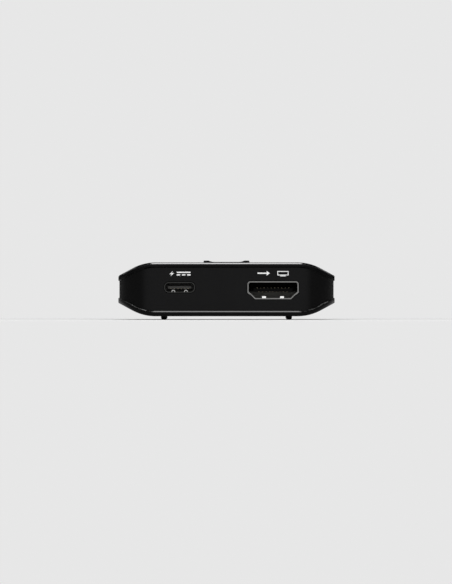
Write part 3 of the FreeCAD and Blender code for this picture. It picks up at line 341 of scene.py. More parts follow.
def button_finish(start):
    """Smooth moulding, a little worn where a finger presses it."""
    fine = grain(start, cells=14, detail=2)
    east = place(start, "X")
    north = place(start, "Y")
    away = (east * east + north * north).sum("SQRT")
    worn = 1 - away.between(2.5 * MM, 5.5 * MM)
    return {
        "Base Color": grain(start, cells=0.3).mix(shaded(colours().button, 0.9),
                                                  shaded(colours().button, 1.3)),
        "Roughness": 0.42 + fine * 0.1 - worn * 0.1,
        "Specular IOR Level": 0.3,
        "Normal": bumped(start, fine, 0.2, 4),
    }


def rubber_finish(start):
    """Matt black rubber with a dusty bloom."""
    pores = grain(start, cells=6, detail=5)
    bloom = grain(start, cells=0.5, detail=4).between(0.45, 0.8)
    return {
        "Base Color": bloom.mix(colours().rubber, shaded(colours().rubber, 2.2)),
        "Roughness": 0.78 + pores * 0.15,
        "Specular IOR Level": 0.25,
        "Normal": bumped(start, pores, 0.5, 12),
    }


def screw_finish(start):
    """Black oxide over steel, rubbed bright on its edges by the driver."""
    scale = grain(start, cells=5, detail=4)
    rubbed = grain(start, cells=1.5, detail=3).between(0.55, 0.7)
    return {
        "Base Color": rubbed.mix((0.05, 0.05, 0.052), (0.16, 0.155, 0.15)),
        "Metallic": 1.0,
        "Roughness": 0.32 + scale * 0.2,
        "Normal": bumped(start, scale, 0.3, 6),
    }


def lens_finish(start):
    """Milky acrylic."""
    haze = grain(start, cells=3, detail=3)
    return {
        "Base Color": haze.mix((0.80, 0.83, 0.86), (0.92, 0.93, 0.95)),
        "Roughness": 0.25 + haze * 0.15,
        "Transmission Weight": 0.6,
        "IOR": 1.49,
    }


# Finishes of the receptacles.

def shell_finish(start):
    """Nickel on rolled sheet, with the rolling lines running into the mouth."""
    rolled = grain(start, cells=10, detail=3, stretch=(1.0, 0.06, 1.0))
    stain = grain(start, cells=0.6, detail=4)
    colour = colours().shell
    return {
        "Base Color": stain.mix(shaded(colour, 0.85), shaded(colour, 1.15)),
        "Metallic": 1.0,
        "Roughness": 0.22 + rolled * 0.18,
        "Normal": bumped(start, rolled, 0.2, 3),
    }


def inlet_finish(start):
    """The same nickel on the power inlet, dull where the sheet was cut at the mouth."""
    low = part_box(f"{INLET}_shell")[0]
    cut_ends = (0.1 * MM, 0.15 * MM)
    inside = (place(start, "Y") - low.y).between(*cut_ends)
    stain = grain(start, cells=0.6, detail=4)
    cut = stain.mix((0.045, 0.045, 0.045), (0.065, 0.065, 0.063))
    sheet = stain.mix((0.5, 0.5, 0.49), (0.6, 0.6, 0.59))
    return {
        "Base Color": inside.mix(cut, sheet),
        "Metallic": 1.0,
        "Roughness": 0.3 + stain * 0.1,
        "Normal": bumped(start, stain, 0.2, 3),
    }


def insulator_finish(start):
    """Black plastic, with painted light: the back wall low down behind the tongue is pale."""
    flow = grain(start, cells=3, detail=5, stretch=(1.0, 0.25, 2.0))
    tongue_root = (22.7 * MM, 23.2 * MM)
    # Painted light: below this height, behind the tongue's root, the back wall is painted pale.
    painted_light_top = (7.6 * MM, 8.4 * MM)
    behind = 1 - abs(place(start, "Y")).between(*tongue_root)
    painted_light = behind * (1 - place(start, "Z").between(*painted_light_top))
    clean = flow.mix((0.0015, 0.0015, 0.0015), (0.003, 0.003, 0.003))
    return {
        # The pale colour here is painted light on the lower back wall.
        "Base Color": painted_light.mix(clean, (0.14, 0.14, 0.13)),
        "Roughness": 0.5 + flow * 0.2,
        "Specular IOR Level": 0.04,
        "Normal": bumped(start, flow, 0.3, 6),
    }


def contact_finish(start):
    """Gold plate, rubbed where a plug's contacts slide."""
    rubbed = grain(start, cells=6, detail=3, stretch=(1.0, 0.1, 1.0))
    gold = colours().gold
    return {
        "Base Color": rubbed.mix(shaded(gold, 0.85), gold),
        "Metallic": 1.0,
        "Roughness": 0.2 + rubbed * 0.15,
        "Normal": bumped(start, rubbed, 0.15, 2),
    }


# Finishes inside the case.

def board_finish(start):
    """Dark green solder mask over copper tracks, with bare laminate on the board's edges."""
    spot = place(start)
    cells = {"Vector": spot, "Scale": 0.55 / MM}
    near = start.node("ShaderNodeTexVoronoi", cells, distance="MANHATTAN")
    next_near = start.node("ShaderNodeTexVoronoi", cells, distance="MANHATTAN", feature="F2")
    track = 1 - (next_near - near).between(0.10, 0.14)
    weave = grain(start, cells=4, stretch=(1.0, 1.0, 0.2))
    flat = abs(place(start, "Z", of="Normal")).between(0.6, 0.8)
    mask = track.mix((0.006, 0.045, 0.020), (0.014, 0.085, 0.040))
    laminate = weave.mix((0.32, 0.27, 0.13), (0.42, 0.37, 0.20))
    return {
        "Base Color": flat.mix(laminate, mask),
        "Roughness": 0.3 + weave * 0.15,
        "Normal": bumped(start, track, 0.5, 20),
    }


def tank_finish(start):
    """Yellow moulded tantalum, with a brown bar at its positive end."""
    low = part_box("tank_capacitors")[0]
    bar_end = (0.7 * MM, 0.75 * MM)
    bar = 1 - (place(start, "X") - low.x).between(*bar_end)
    filler = grain(start, cells=6, detail=3)
    body = filler.mix((0.60, 0.33, 0.045), (0.70, 0.42, 0.07))
    return {
        "Base Color": bar.mix(body, (0.13, 0.05, 0.02)),
        "Roughness": 0.45 + filler * 0.15,
        "Normal": bumped(start, filler, 0.3, 5),
    }


def ended(start, node, axis, reach, body, metal):
    """A colour for a row of small parts, with tinned ends along one axis."""
    low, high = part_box(node)
    along = place(start, axis)
    index = "XYZ".index(axis)
    first = 1 - (along - low[index]).between(reach * 0.95, reach)
    last = (along - high[index] + reach).between(0.0, reach * 0.05)
    return (first + last).mix(body, metal)


def resistor_finish(start):
    """Black glazed resistors with tinned ends."""
    glaze = grain(start, cells=4, detail=3)
    body = glaze.mix((0.012, 0.012, 0.013), (0.03, 0.03, 0.032))
    return {
        "Base Color": ended(start, "resistors", "X", 0.3 * MM, body, (0.62, 0.61, 0.59)),
        "Roughness": 0.3 + glaze * 0.2,
        "Normal": bumped(start, glaze, 0.2, 4),
    }


def ceramic_finish(start):
    """Fawn ceramic blocks with tinned ends on the sides away from the chip."""
    fired = grain(start, cells=6, detail=4)
    body = fired.mix((0.30, 0.19, 0.10), (0.40, 0.27, 0.16))
    return {
        "Base Color": ended(start, "ceramic_capacitors", "Y", 0.35 * MM, body,
                            (0.62, 0.61, 0.59)),
        "Roughness": 0.4 + fired * 0.2,
        "Normal": bumped(start, fired, 0.3, 4),
    }


def ink_finish(start):
    """White pad-printed ink, a little thin in places."""
    thin = grain(start, cells=7, detail=4)
    ink = colours().ink
    return {
        "Base Color": thin.mix(shaded(ink, 0.94), ink),
        "Roughness": 0.5 + thin * 0.1,
        "Specular IOR Level": 0.3,
        "Normal": bumped(start, thin, 0.2, 3),
    }


CASE_FINISHES = {
    "cover_metal": cover_finish,
    "frame_plastic": frame_finish,
    "button_plastic": button_finish,
    "foot_rubber": rubber_finish,
    "screw_steel": screw_finish,
    "lens_clear": lens_finish,
}
RECEPTACLE_FINISHES = {
    "shell_metal": shell_finish,
    "insulator_plastic": insulator_finish,
    "contact_gold": contact_finish,
}
INLET_FINISHES = {
    "shell": inlet_finish,
    # Glass-filled dark plastic with faint flow lines.
    "insulator": one_grain(3, 5, ((0.016, 0.0155, 0.014), (0.034, 0.033, 0.030)),
                           (0.45, 0.2), (0.3, 6), (1.0, 0.25, 2.0), Specular_IOR_Level=0.4),
}
BOARD_FINISHES = {
    "board_laminate": board_finish,
    # Dark heat-proof nylon.
    "switch_plastic": one_grain(5, 4, ((0.02, 0.02, 0.021), (0.045, 0.044, 0.043)),
                                (0.45, 0.2), (0.3, 6), (1.0, 1.0, 0.4)),
    # Brushed spring steel.
    "switch_metal": one_grain(9, 3, ((0.50, 0.49, 0.47), (0.64, 0.63, 0.61)),
                              (0.2, 0.2), (0.2, 3), (0.08, 1.0, 1.0), Metallic=1.0),
    # Moulding compound with its filler showing.
    "chip_resin": one_grain(16, 4, ((0.012, 0.012, 0.013), (0.035, 0.035, 0.036)),
                            (0.5, 0.25), (0.35, 5), Specular_IOR_Level=0.35),
    # Grey-blue silicone.
    "thermal_rubber": one_grain(5, 4, ((0.16, 0.22, 0.30), (0.24, 0.31, 0.40)),
                                (0.6, 0.2), (0.5, 15)),
    # Extruded aluminium with die lines along its fins.
    "sink_metal": one_grain(7, 3, ((0.58, 0.59, 0.61), (0.72, 0.73, 0.75)),
                            (0.28, 0.2), (0.3, 8), (1.0, 0.04, 1.0), Metallic=1.0),
    # Pressed iron powder under a thin lacquer.
    "coil_ferrite": one_grain(7, 5, ((0.035, 0.036, 0.038), (0.10, 0.10, 0.105)),
                              (0.5, 0.2), (0.5, 12), Coat_Weight=0.3),
    # Seam-welded nickel lid.
    "crystal_metal": one_grain(8, 3, ((0.55, 0.54, 0.50), (0.68, 0.66, 0.62)),
                               (0.25, 0.15), (0.2, 3), Metallic=1.0),
    "tank_resin": tank_finish,
    "capacitor_ceramic": ceramic_finish,
    "resistor_resin": resistor_finish,
    # Phosphor in a clear body.
    "lamp_resin": one_grain(6, 3, ((0.80, 0.66, 0.16), (0.88, 0.78, 0.30)),
                            (0.25, 0.15), (0.2, 3)),
}
# Painted shade: near-black foam that fills the gaps round the receptacles in place of their
# shadow.
GAP_SHADE_FINISH = one_grain(8, 3, ((0.001, 0.001, 0.001), (0.003, 0.003, 0.003)),
                          (0.9, 0.1), (0.5, 15), Specular_IOR_Level=0.02)


def dress(finishes):
    """Gives each node whose slot is named here its finish."""
    for slot_name, recipe in finishes.items():
        finish = material(f"{slot_name}_finish", recipe)
        for node in NODES.values():
            for slot in node.material_slots:
                if slot.material and slot.material.name == slot_name:
                    slot.material = finish


# Modelling by hand.

def clear_selection():
    """Leaves nothing selected, in object mode."""
    if bpy.context.object and bpy.context.object.mode != "OBJECT":
        bpy.ops.object.mode_set(mode="OBJECT")
    bpy.ops.object.select_all(action="DESELECT")


def take(piece):
    """Selects one piece alone, and makes it the active one."""
    clear_selection()
    piece.select_set(True)
    bpy.context.view_layer.objects.active = piece


def bake():
    """Moves the selected piece's place, turn and scale into its mesh."""
    bpy.ops.object.transform_apply(location=True, rotation=True, scale=True)


def block(middle, size, turn=0.0):
    """A block of one size about a place, turned about its upright axis."""
    clear_selection()
    bpy.ops.mesh.primitive_cube_add(size=1.0, location=middle)
    made = bpy.context.object
    made.scale = size
    made.rotation_euler = (0, 0, turn)
    bake()
    return made


def pick(test, kind="faces"):
    """In edit mode, selects the faces, edges or vertices that pass a test."""
    mesh = bpy.context.object.data
    bpy.ops.mesh.select_all(action="DESELECT")
    edit = bmesh.from_edit_mesh(mesh)
    for element in getattr(edit, kind):
        if test(element):
            element.select_set(True)
    edit.select_flush(True)
    bmesh.update_edit_mesh(mesh)


def round_edges(test, offset, segments):
    """In edit mode, rounds the edges that pass a test."""
    pick(test, "edges")
    bpy.ops.mesh.bevel(offset=offset, segments=segments, affect="EDGES")


def edit_mode(kind="FACE"):
    """Enters edit mode with nothing selected."""
    bpy.ops.object.mode_set(mode="EDIT")
    bpy.ops.mesh.select_mode(type=kind)
    bpy.ops.mesh.select_all(action="DESELECT")


def settle(piece, name, finish, smooth=None):
    """Puts a finished piece's place in its mesh, and names, dresses and seats it."""
    take(piece)
    bake()
    if smooth is not None:
        bpy.ops.object.shade_smooth_by_angle(angle=math.radians(smooth))
        weights = piece.modifiers.new("weights", "WEIGHTED_NORMAL")
        weights.keep_sharp = True
        bpy.ops.object.modifier_apply(modifier=weights.name)
    piece.name = name
    piece.data.name = name
    piece.data.materials.clear()
    piece.data.materials.append(finish)
    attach(piece, "case")
    piece.select_set(False)


def finish_called(name, recipe):
    """The material of that name, made once."""
    return bpy.data.materials.get(name) or material(name, recipe)


# The covers' rims.

def rim_edge(edge, side):
    """Whether an edge of a cover runs along its outer bevel; side is 1 on the top cover."""
    if len(edge.link_faces) != 2:
        return False
    turn = math.degrees(edge.calc_face_angle())
    rise = max(face.normal.z * side for face in edge.link_faces)
    tip = all(abs(vertex.co.x) > SIDE_TIPS for vertex in edge.verts)
    return 25 < turn < 65 and rise > 0.3 and not tip


def on_lip(element, straight):
    """Whether a face or an edge lies beyond the straight sides and short of the tips."""
    reach = sizes().lip_reach
    return all(abs(vertex.co.y) > straight - MICRON and abs(vertex.co.x) < reach
               for vertex in element.verts)


def lip_face(face, straight):
    """Whether a face belongs to the leaned part of the inner bevel."""
    low, high = BEVEL_RISE
    return low < face.normal.z < high and on_lip(face, straight)


def lip_edge(edge, straight):
    """Whether an edge runs along the top of the leaned part of the inner bevel."""
    if len(edge.link_faces) != 2 or not on_lip(edge, straight):
        return False
    bevel, ledge = sorted(face.normal.z for face in edge.link_faces)
    low, high = BEVEL_RISE
    return low < bevel < high < ledge


def end_face(end):
    """In edit mode, the corners of the piece's flat face at one end of its length."""
    mesh = bmesh.from_edit_mesh(bpy.context.object.data)
    return [vertex.co.copy() for vertex in mesh.verts if abs(vertex.co.x - end) < MICRON]


def sharpen_tips(node, side):
    """Shrinks the bevel of a cover's side tips towards the corner that it was cut from."""
    sheet = sizes()
    low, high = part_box(node)
    shrink = sheet.tip_bevel / sheet.rim_bevel
    for end in (low.x, high.x):
        level = max(spot.z * side for spot in end_face(end)) + sheet.rim_bevel
        corner = Vector((end, 0, level * side))
        straight = max(spot.y for spot in end_face(end))

        def near(vertex):
            away = vertex.co - corner
            return (math.hypot(away.x, away.z) < sheet.rim_bevel * 1.1
                    and abs(away.y) < straight + MICRON)

        pick(near, "verts")
        bpy.ops.transform.resize(value=(shrink, 1, shrink), center_override=corner)


def window_edge(edge, deck):
    """Whether an edge runs round an opening in the deck."""
    level = all(abs(vertex.co.z - deck) < MICRON for vertex in edge.verts)
    return level and len(edge.link_faces) == 2 and edge.calc_face_angle() > math.radians(80)


def merged_copy(node, flat):
    """A copy of a node, merged, in edit mode: what bends less than flat degrees is one face."""
    piece = NODES[node].copy()
    piece.data = NODES[node].data.copy()
    bpy.context.collection.objects.link(piece)
    take(piece)
    edit_mode("EDGE")
    bpy.ops.mesh.select_all(action="SELECT")
    bpy.ops.mesh.remove_doubles(threshold=MICRON)
    bpy.ops.mesh.dissolve_limited(angle_limit=math.radians(flat))
    return piece


def round_cover(node, side):
    """A copy of a cover with its outer bevel rounded over and the openings' edges broken."""
    cover = merged_copy(node, flat=1 if side > 0 else 0.2)
    round_edges(lambda edge: rim_edge(edge, side), sizes().rim_round, segments=4)
    if side > 0:
        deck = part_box(node)[1].z
        round_edges(lambda edge: window_edge(edge, deck), sizes().window_round, segments=2)
        finish = bpy.data.materials["cover_metal_finish"]
    else:
        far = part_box(node)[1]
        straight = max(spot.y for spot in end_face(far.x))
        pick(lambda face: lip_face(face, straight))
        bpy.ops.transform.translate(value=(0, 0, sizes().lip_lift))
        pick(lambda edge: lip_edge(edge, straight), "edges")
        grow = 1 + sizes().lip_lean / far.y
        bpy.ops.transform.resize(value=(grow, grow, 1), center_override=(0, 0, 0))
        finish = finish_called("lower_cover_finish", lower_cover_finish)
    sharpen_tips(node, side)
    bpy.ops.object.mode_set(mode="OBJECT")
    settle(cover, node.replace("_", "_rounded_"), finish, smooth=20)
    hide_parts(node)


def soft_strip(node):
    """A foot strip with a round underside, in the box of its solid."""
    low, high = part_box(node)
    strip = block((low + high) / 2, high - low)
    edit_mode("EDGE")
    round_edges(lambda edge: all(vertex.co.z < low.z + MICRON for vertex in edge.verts),
                sizes().foot_round, segments=5)
    bpy.ops.object.mode_set(mode="OBJECT")
    finish = bpy.data.materials["foot_rubber_finish"]
    settle(strip, node.replace("foot", "soft"), finish, smooth=40)
    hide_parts(node)


class SPLITTER_OT_round_strips(bpy.types.Operator):
    """Round the undersides of both foot strips"""

    bl_idname = "splitter.round_strips"
    bl_label = "Rounded foot strips"

    def execute(self, context):
        soft_strip("left_foot_strip")
        soft_strip("right_foot_strip")
        return {"FINISHED"}


class SPLITTER_OT_round_covers(bpy.types.Operator):
    """Round the outer rims of both covers"""

    bl_idname = "splitter.round_covers"
    bl_label = "Rounded rims"

    def execute(self, context):
        round_cover("top_cover", 1)
        round_cover("bottom_cover", -1)
        return {"FINISHED"}


class SPLITTER_OT_spring_dome(bpy.types.Operator):
    """Put a merged, smooth-shaded copy with a mesh of its own in place of the switch's dome"""

    bl_idname = "splitter.spring_dome"
    bl_label = "Springy dome"

    def execute(self, context):
        dome = merged_copy("switch_dome", flat=0.2)
        bpy.ops.object.mode_set(mode="OBJECT")
        finish = bpy.data.materials["switch_metal_finish"]
        settle(dome, "springy_dome", finish, smooth=30)
        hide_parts("switch_dome")
        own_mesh(dome)
        return {"FINISHED"}


# The screws.

def cross_cutter(level, inward):
    """Two crossed bars that taper inward from a level, to cut a screw's recess."""
    sheet = sizes()
    bars = []
    for turn in (0, 1):
        bar = block((0, 0, level + inward / 2),
                    (sheet.recess_wide, sheet.recess_slot, inward * 2), turn * math.pi / 2)
        edit_mode()
        pick(lambda face: face.normal.z > 0.5)
        bpy.ops.transform.resize(value=(0.5, 0.5, 1.0))
        bpy.ops.object.mode_set(mode="OBJECT")
        bars.append(bar)
    return bars


def cut_away(piece, cutter):
    """Cuts one piece with another, which is then removed."""
    take(piece)
    cut = piece.modifiers.new("recess", "BOOLEAN")
    cut.operation = "DIFFERENCE"
    cut.solver = "EXACT"
    cut.object = cutter
    bpy.ops.object.modifier_apply(modifier=cut.name)
    bpy.data.objects.remove(cutter)


def screw_body(low, high):
    """A turned screw standing on its head at the origin, between two levels."""
    end_chamfer = 0.3 * MM
    clear_selection()
    bpy.ops.mesh.primitive_cylinder_add(vertices=64, radius=SCREW_HEAD_WIDE / 2,
                                        depth=SCREW_HEAD_TALL,
                                        location=(0, 0, low + SCREW_HEAD_TALL / 2))
    screw = bpy.context.object
    bake()
    edit_mode()
    pick(lambda face: face.normal.z > 0.9)
    bpy.ops.mesh.inset(thickness=(SCREW_HEAD_WIDE - SCREW_SHANK_WIDE) / 2)
    bpy.ops.mesh.extrude_region_move(
        TRANSFORM_OT_translate={"value": (0, 0, high - low - SCREW_HEAD_TALL)})
    bpy.ops.mesh.bevel(offset=end_chamfer, segments=1, affect="EDGES")
    round_edges(lambda edge: all(vertex.co.z < low + MICRON for vertex in edge.verts),
                sizes().head_round, segments=4)
    bpy.ops.object.mode_set(mode="OBJECT")
    for bar in cross_cutter(low, sizes().recess_deep):
        cut_away(screw, bar)
    return screw


class SPLITTER_OT_add_screws(bpy.types.Operator):
    """Model the two screws with their cross recesses"""

    bl_idname = "splitter.add_screws"
    bl_label = "Screws"

    def execute(self, context):
        low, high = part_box("cover_screws")
        side = (high.x - low.x) / 2 - SCREW_HEAD_WIDE / 2
        first = screw_body(low.z, high.z)
        finish = bpy.data.materials["screw_steel_finish"]
        for name, way in (("left_screw", -1), ("right_screw", 1)):
            screw = first.copy()
            screw.data = first.data.copy()
            context.collection.objects.link(screw)
            screw.location = (way * side, 0, 0)
            settle(screw, name, finish, smooth=35)
            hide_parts("cover_screws")
        bpy.data.objects.remove(first)
        return {"FINISHED"}


# The printed marks.

def flat_shape(name, outline, thick=0.0):
    """Closed outlines filled as a flat shape, in metres, centred on the origin."""
    line = bpy.data.curves.new(name, "CURVE")
    line.dimensions = "2D"
    line.fill_mode = "BOTH"
    line.extrude = thick / 2
    for points in outline:
        spline = line.splines.new("POLY")
        spline.points.add(len(points) - 1)
        for point, (x, y) in zip(spline.points, points):
            point.co = (x, y, 0.0, 1.0)
        spline.use_cyclic_u = True
    shape = bpy.data.objects.new(name, line)
    bpy.context.collection.objects.link(shape)
    return shape


def as_mesh(shape):
    """A curve or a text as a mesh, alone in the selection."""
    take(shape)
    bpy.ops.object.convert(target="MESH")
    return bpy.context.object


def face_on(shape, x, level, proud, rear):
    """Turns a shape to the front or the rear, so far in front of the frame's face."""
    low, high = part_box("middle_frame")
    shape.location = (x, high.y + proud if rear else low.y - proud, level)
    shape.rotation_euler = (math.pi / 2, 0, math.pi if rear else 0)


def stick(shape, name, x, level, rear=False):
    """Lays a thin flat shape on the frame's face as a printed mark."""
    mark = as_mesh(shape)
    face_on(mark, x, level, sizes().ink_thick / 2, rear)
    settle(mark, name, finish_called("ink_finish", ink_finish))


def bar(x, y, wide, tall):
    """The corners of an upright rectangle about a point."""
    return [(x - wide / 2, y - tall / 2), (x + wide / 2, y - tall / 2),
            (x + wide / 2, y + tall / 2), (x - wide / 2, y + tall / 2)]


def power_mark():
    """A bolt, and the sign for direct current: a bar over three dashes."""
    tall = sizes().mark_tall
    line = sizes().mark_line
    wide = tall * 2.7
    dash = wide / 4
    shift = tall * 0.8
    outline = [bar(shift, line, wide, line)]
    for step in (-1, 0, 1):
        outline.append(bar(shift + step * (wide - dash) / 2, -line, dash, line))
    middle = -tall * 1.55
    bolt = ((0.22, 0.5), (-0.45, -0.1), (-0.02, -0.1), (-0.22, -0.5), (0.45, 0.1),
            (0.02, 0.1))
    outline.append([(middle + x * tall, y * tall) for x, y in bolt])
    return outline


def screen_mark():
    """An arrow and a screen on its foot."""
    tall = sizes().mark_tall
    line = sizes().mark_line
    wide = tall * 2.2
    glass = tall * 0.85
    top = tall / 2
    middle = top - glass / 2
    screen = tall * 1.95
    edge = line * 0.6
    outline = [
        bar(screen, middle, wide, glass),
        bar(screen, middle, wide - 2 * edge, glass - 2 * edge),
        bar(screen, -top + edge / 4, wide * 0.5, edge),
    ]
    shaft = tall * 2.2
    head = tall * 0.46
    root = -screen - shaft / 2
    tip = -screen + shaft / 2 + head * 0.5
    neck = tip - head * 1.4
    outline.append([(root, middle - line / 2), (neck, middle - line / 2), (neck, middle - head),
                    (tip, middle), (neck, middle + head), (neck, middle + line / 2),
                    (root, middle + line / 2)])
    return outline


def middle_of(node):
    """Half way between a node's lowest and highest corners."""
    low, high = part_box(node)
    return (low + high) / 2


class SPLITTER_OT_add_marks(bpy.types.Operator):
    """Print plain signs over the front sockets and numbers over the rear ones"""

    bl_idname = "splitter.add_marks"
    bl_label = "Printed marks"

    def execute(self, context):
        level = sizes().mark_level
        inlet = middle_of(f"{INLET}_shell").x
        thick = sizes().ink_thick
        stick(flat_shape("power", power_mark(), thick), "power_mark", inlet, level)
        entry = middle_of(f"{INPUT}_shell").x
        stick(flat_shape("input", screen_mark(), thick), "input_mark", entry, level)
        for number, port in enumerate(OUTPUTS, 1):
            clear_selection()
            bpy.ops.object.text_add(location=(0, 0, 0))
            digit = context.object
            digit.data.body = str(number)
            digit.data.align_x = "CENTER"
            digit.data.align_y = "CENTER"
            digit.data.size = sizes().mark_tall * 1.5
            digit.data.offset = 0.05 * MM
            digit.data.extrude = thick / 2
            x = middle_of(f"{port}_shell").x
            stick(digit, f"output_mark_{number}", x, level, rear=True)
        return {"FINISHED"}


# The gaskets round the receptacles.

def opening(port, rear):
    """The frame's opening round a receptacle, with its middle: a list of x and height."""
    corner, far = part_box(f"{port}_shell")
    low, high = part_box("middle_frame")
    face = high.y if rear else low.y
    spots = {(round(spot.x, 7), round(spot.z, 7))
             for spot in (vertex.co for vertex in NODES["middle_frame"].data.vertices)
             if abs(spot.y - face) < MICRON and corner.x - MM < spot.x < far.x + MM
             and corner.z - MM < spot.z < far.z + MM}
    x, level = ((min(line) + max(line)) / 2 for line in zip(*spots))
    way = -1 if rear else 1
    around = [(way * (spot[0] - x), spot[1] - level) for spot in spots]
    return sorted(around, key=lambda spot: math.atan2(spot[1], spot[0])), x, level


def gasket(port, rear=False):
    """A ring of near-black foam that closes the gap between a receptacle and the frame, as
    painted shade for the gap's shadow.
    """
    outline, x, level = opening(port, rear)
    ring = as_mesh(flat_shape(f"{port}_ring", [outline]))
    weld = 5 * MICRON
    edit_mode()
    bpy.ops.mesh.select_all(action="SELECT")
    bpy.ops.mesh.remove_doubles(threshold=weld)
    bpy.ops.mesh.dissolve_limited(angle_limit=math.radians(0.2))
    bpy.ops.mesh.select_all(action="SELECT")
    bpy.ops.mesh.inset(thickness=sizes().gasket_gap)
    bpy.ops.mesh.delete(type="FACE")
    bpy.ops.mesh.select_all(action="SELECT")
    bpy.ops.mesh.extrude_region_move(
        TRANSFORM_OT_translate={"value": (0, 0, -sizes().gasket_deep)})
    bpy.ops.mesh.select_all(action="SELECT")
    bpy.ops.mesh.normals_make_consistent(inside=False)
    bpy.ops.object.mode_set(mode="OBJECT")
    face_on(ring, x, level, -sizes().gasket_recess, rear)
    settle(ring, f"{port}_gasket", finish_called("gasket_finish", GAP_SHADE_FINISH),
           smooth=40)
    if port != INLET:
        shell_flap(port, outline, x, level, rear)


def shell_flap(port, outline, x, level, rear):
    """The flap of a shell that is folded down behind its insulator."""
    sheet = sizes()
    low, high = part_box(f"{port}_shell")
    wide = 2 * (max(spot[0] for spot in outline) - sheet.gasket_gap)
    top = level + max(spot[1] for spot in outline) - sheet.gasket_gap
    back = low.y - sheet.flap_thick / 2 if rear else high.y + sheet.flap_thick / 2
    flap = block((x, back, top - sheet.flap_tall / 2),
                 (wide, sheet.flap_thick, sheet.flap_tall))
    edit_mode("EDGE")
    round_edges(lambda edge: abs(edge.verts[0].co.x - edge.verts[1].co.x) < MICRON
                and abs(edge.verts[0].co.z - edge.verts[1].co.z) < MICRON,
                sheet.flap_thick, segments=3)
    bpy.ops.object.mode_set(mode="OBJECT")
    finish = bpy.data.materials["shell_metal_finish"]
    settle(flap, f"{port}_flap", finish, smooth=40)


class SPLITTER_OT_add_gaskets(bpy.types.Operator):
    """Close the gaps round the receptacles with foam rings that are painted shade for the gaps'
    shadow
    """

    bl_idname = "splitter.add_gaskets"
    bl_label = "Gaskets"

    def execute(self, context):
        gasket(INPUT)
        gasket(INLET)
        for port in OUTPUTS:
            gasket(port, rear=True)
        return {"FINISHED"}


# Dressing.

class SPLITTER_OT_dress_case(bpy.types.Operator):
    """Give the covers, frame, button, feet and light their finishes"""

    bl_idname = "splitter.dress_case"
    bl_label = "Case finishes"

    def execute(self, context):
        dress(CASE_FINISHES)
        return {"FINISHED"}


class SPLITTER_OT_dress_receptacles(bpy.types.Operator):
    """Give the receptacles their finishes"""

    bl_idname = "splitter.dress_receptacles"
    bl_label = "Receptacle finishes"

    def execute(self, context):
        dress(RECEPTACLE_FINISHES)
        for part, recipe in INLET_FINISHES.items():
            finish = material(f"{INLET}_{part}_finish", recipe)
            NODES[f"{INLET}_{part}"].material_slots[0].material = finish
        return {"FINISHED"}


class SPLITTER_OT_dress_board(bpy.types.Operator):
    """Give the board and everything on it their finishes"""

    bl_idname = "splitter.dress_board"
    bl_label = "Board finishes"

    def execute(self, context):
        dress(BOARD_FINISHES)
        return {"FINISHED"}


# The studio.

def seen(start):
    """1 for what the camera, a reflection or a clear piece looks at, and 0 for lighting."""
    ray = start.node("ShaderNodeLightPath", output="Is Camera Ray")
    both = ray.sum("MAXIMUM", ray, ray.also("Is Glossy Ray"))
    return both.sum("MAXIMUM", both, ray.also("Is Transmission Ray"))


def softbox(name, spot, aim, wide, tall, brightness, lights=True):
    """A rectangular lamp aimed at a place: it lights, or else it is only mirrored."""
    lamp = bpy.data.lights.new(name, "AREA")
    lamp.shape = "RECTANGLE"
    lamp.size = wide
    lamp.size_y = tall
    lamp.energy = brightness * math.pi * wide * tall
    fixture = bpy.data.objects.new(name, lamp)
    bpy.context.scene.collection.objects.link(fixture)
    fixture.location = spot
    fixture.rotation_euler = (Vector(aim) - Vector(spot)).to_track_quat("-Z", "Y").to_euler()
    fixture.visible_camera = False
    fixture.visible_diffuse = lights


def dark_card(name, spot, turn, wide, tall):
    """A black card that is seen only in reflections, and neither lights nor shades."""
    bpy.ops.mesh.primitive_plane_add(size=1.0, location=spot, rotation=turn)
    card = bpy.context.object
    card.name = name
    card.scale = (wide, tall, 1.0)
    bake()
    card.data.materials.append(finish_called("black_card_finish", black_finish))
    for ray in ("camera", "diffuse", "transmission", "volume_scatter", "shadow"):
        setattr(card, f"visible_{ray}", False)


def black_finish(start):
    """Matt black paper."""
    return {"Base Color": (0.0, 0.0, 0.0), "Roughness": 1.0, "Specular IOR Level": 0.0}


def floor_material():
    """Pale and matt, plain further out, clear from below, and lit up under the case."""
    made = bpy.data.materials.new("floor_finish")
    start = empty_tree(made)
    reach = start.node("ShaderNodeVectorMath", {0: place(start)}, output="Value",
                       operation="LENGTH")
    pale = colours().backdrop
    matt = start.node("ShaderNodeBsdfDiffuse", {"Color": pale})
    plain = start.node("ShaderNodeEmission", {"Color": pale})
    far = reach.between(*PLAIN_FLOOR) * seen(start)
    upper = start.node("ShaderNodeMixShader", {0: far, 1: matt, 2: plain})
    eye = start.node("ShaderNodeLightPath", output="Is Camera Ray")
    beneath = (1 - reach.between(*LIT_FLOOR)) * (1 - eye)
    table = start.node("ShaderNodeEmission", {"Color": pale, "Strength": 1.0})
    upper = start.node("ShaderNodeMixShader", {0: beneath, 1: upper, 2: table})
    under = start.node("ShaderNodeNewGeometry", output="Backfacing")
    clear = start.node("ShaderNodeBsdfTransparent")
    surface = start.node("ShaderNodeMixShader", {0: under, 1: upper, 2: clear})
    start.node("ShaderNodeOutputMaterial", {"Surface": surface})
    return made


def light_world():
    """A pale surround that lights the case a little less than it shows."""
    world = bpy.data.worlds.new("surround")
    bpy.context.scene.world = world
    start = empty_tree(world)
    pale = colours().backdrop
    shown = start.node("ShaderNodeBackground", {"Color": pale, "Strength": 1.0})
    light = start.node("ShaderNodeBackground", {"Color": pale, "Strength": SURROUND_LIGHT})
    surface = start.node("ShaderNodeMixShader", {0: seen(start), 1: light, 2: shown})
    start.node("ShaderNodeOutputWorld", {"Surface": surface})


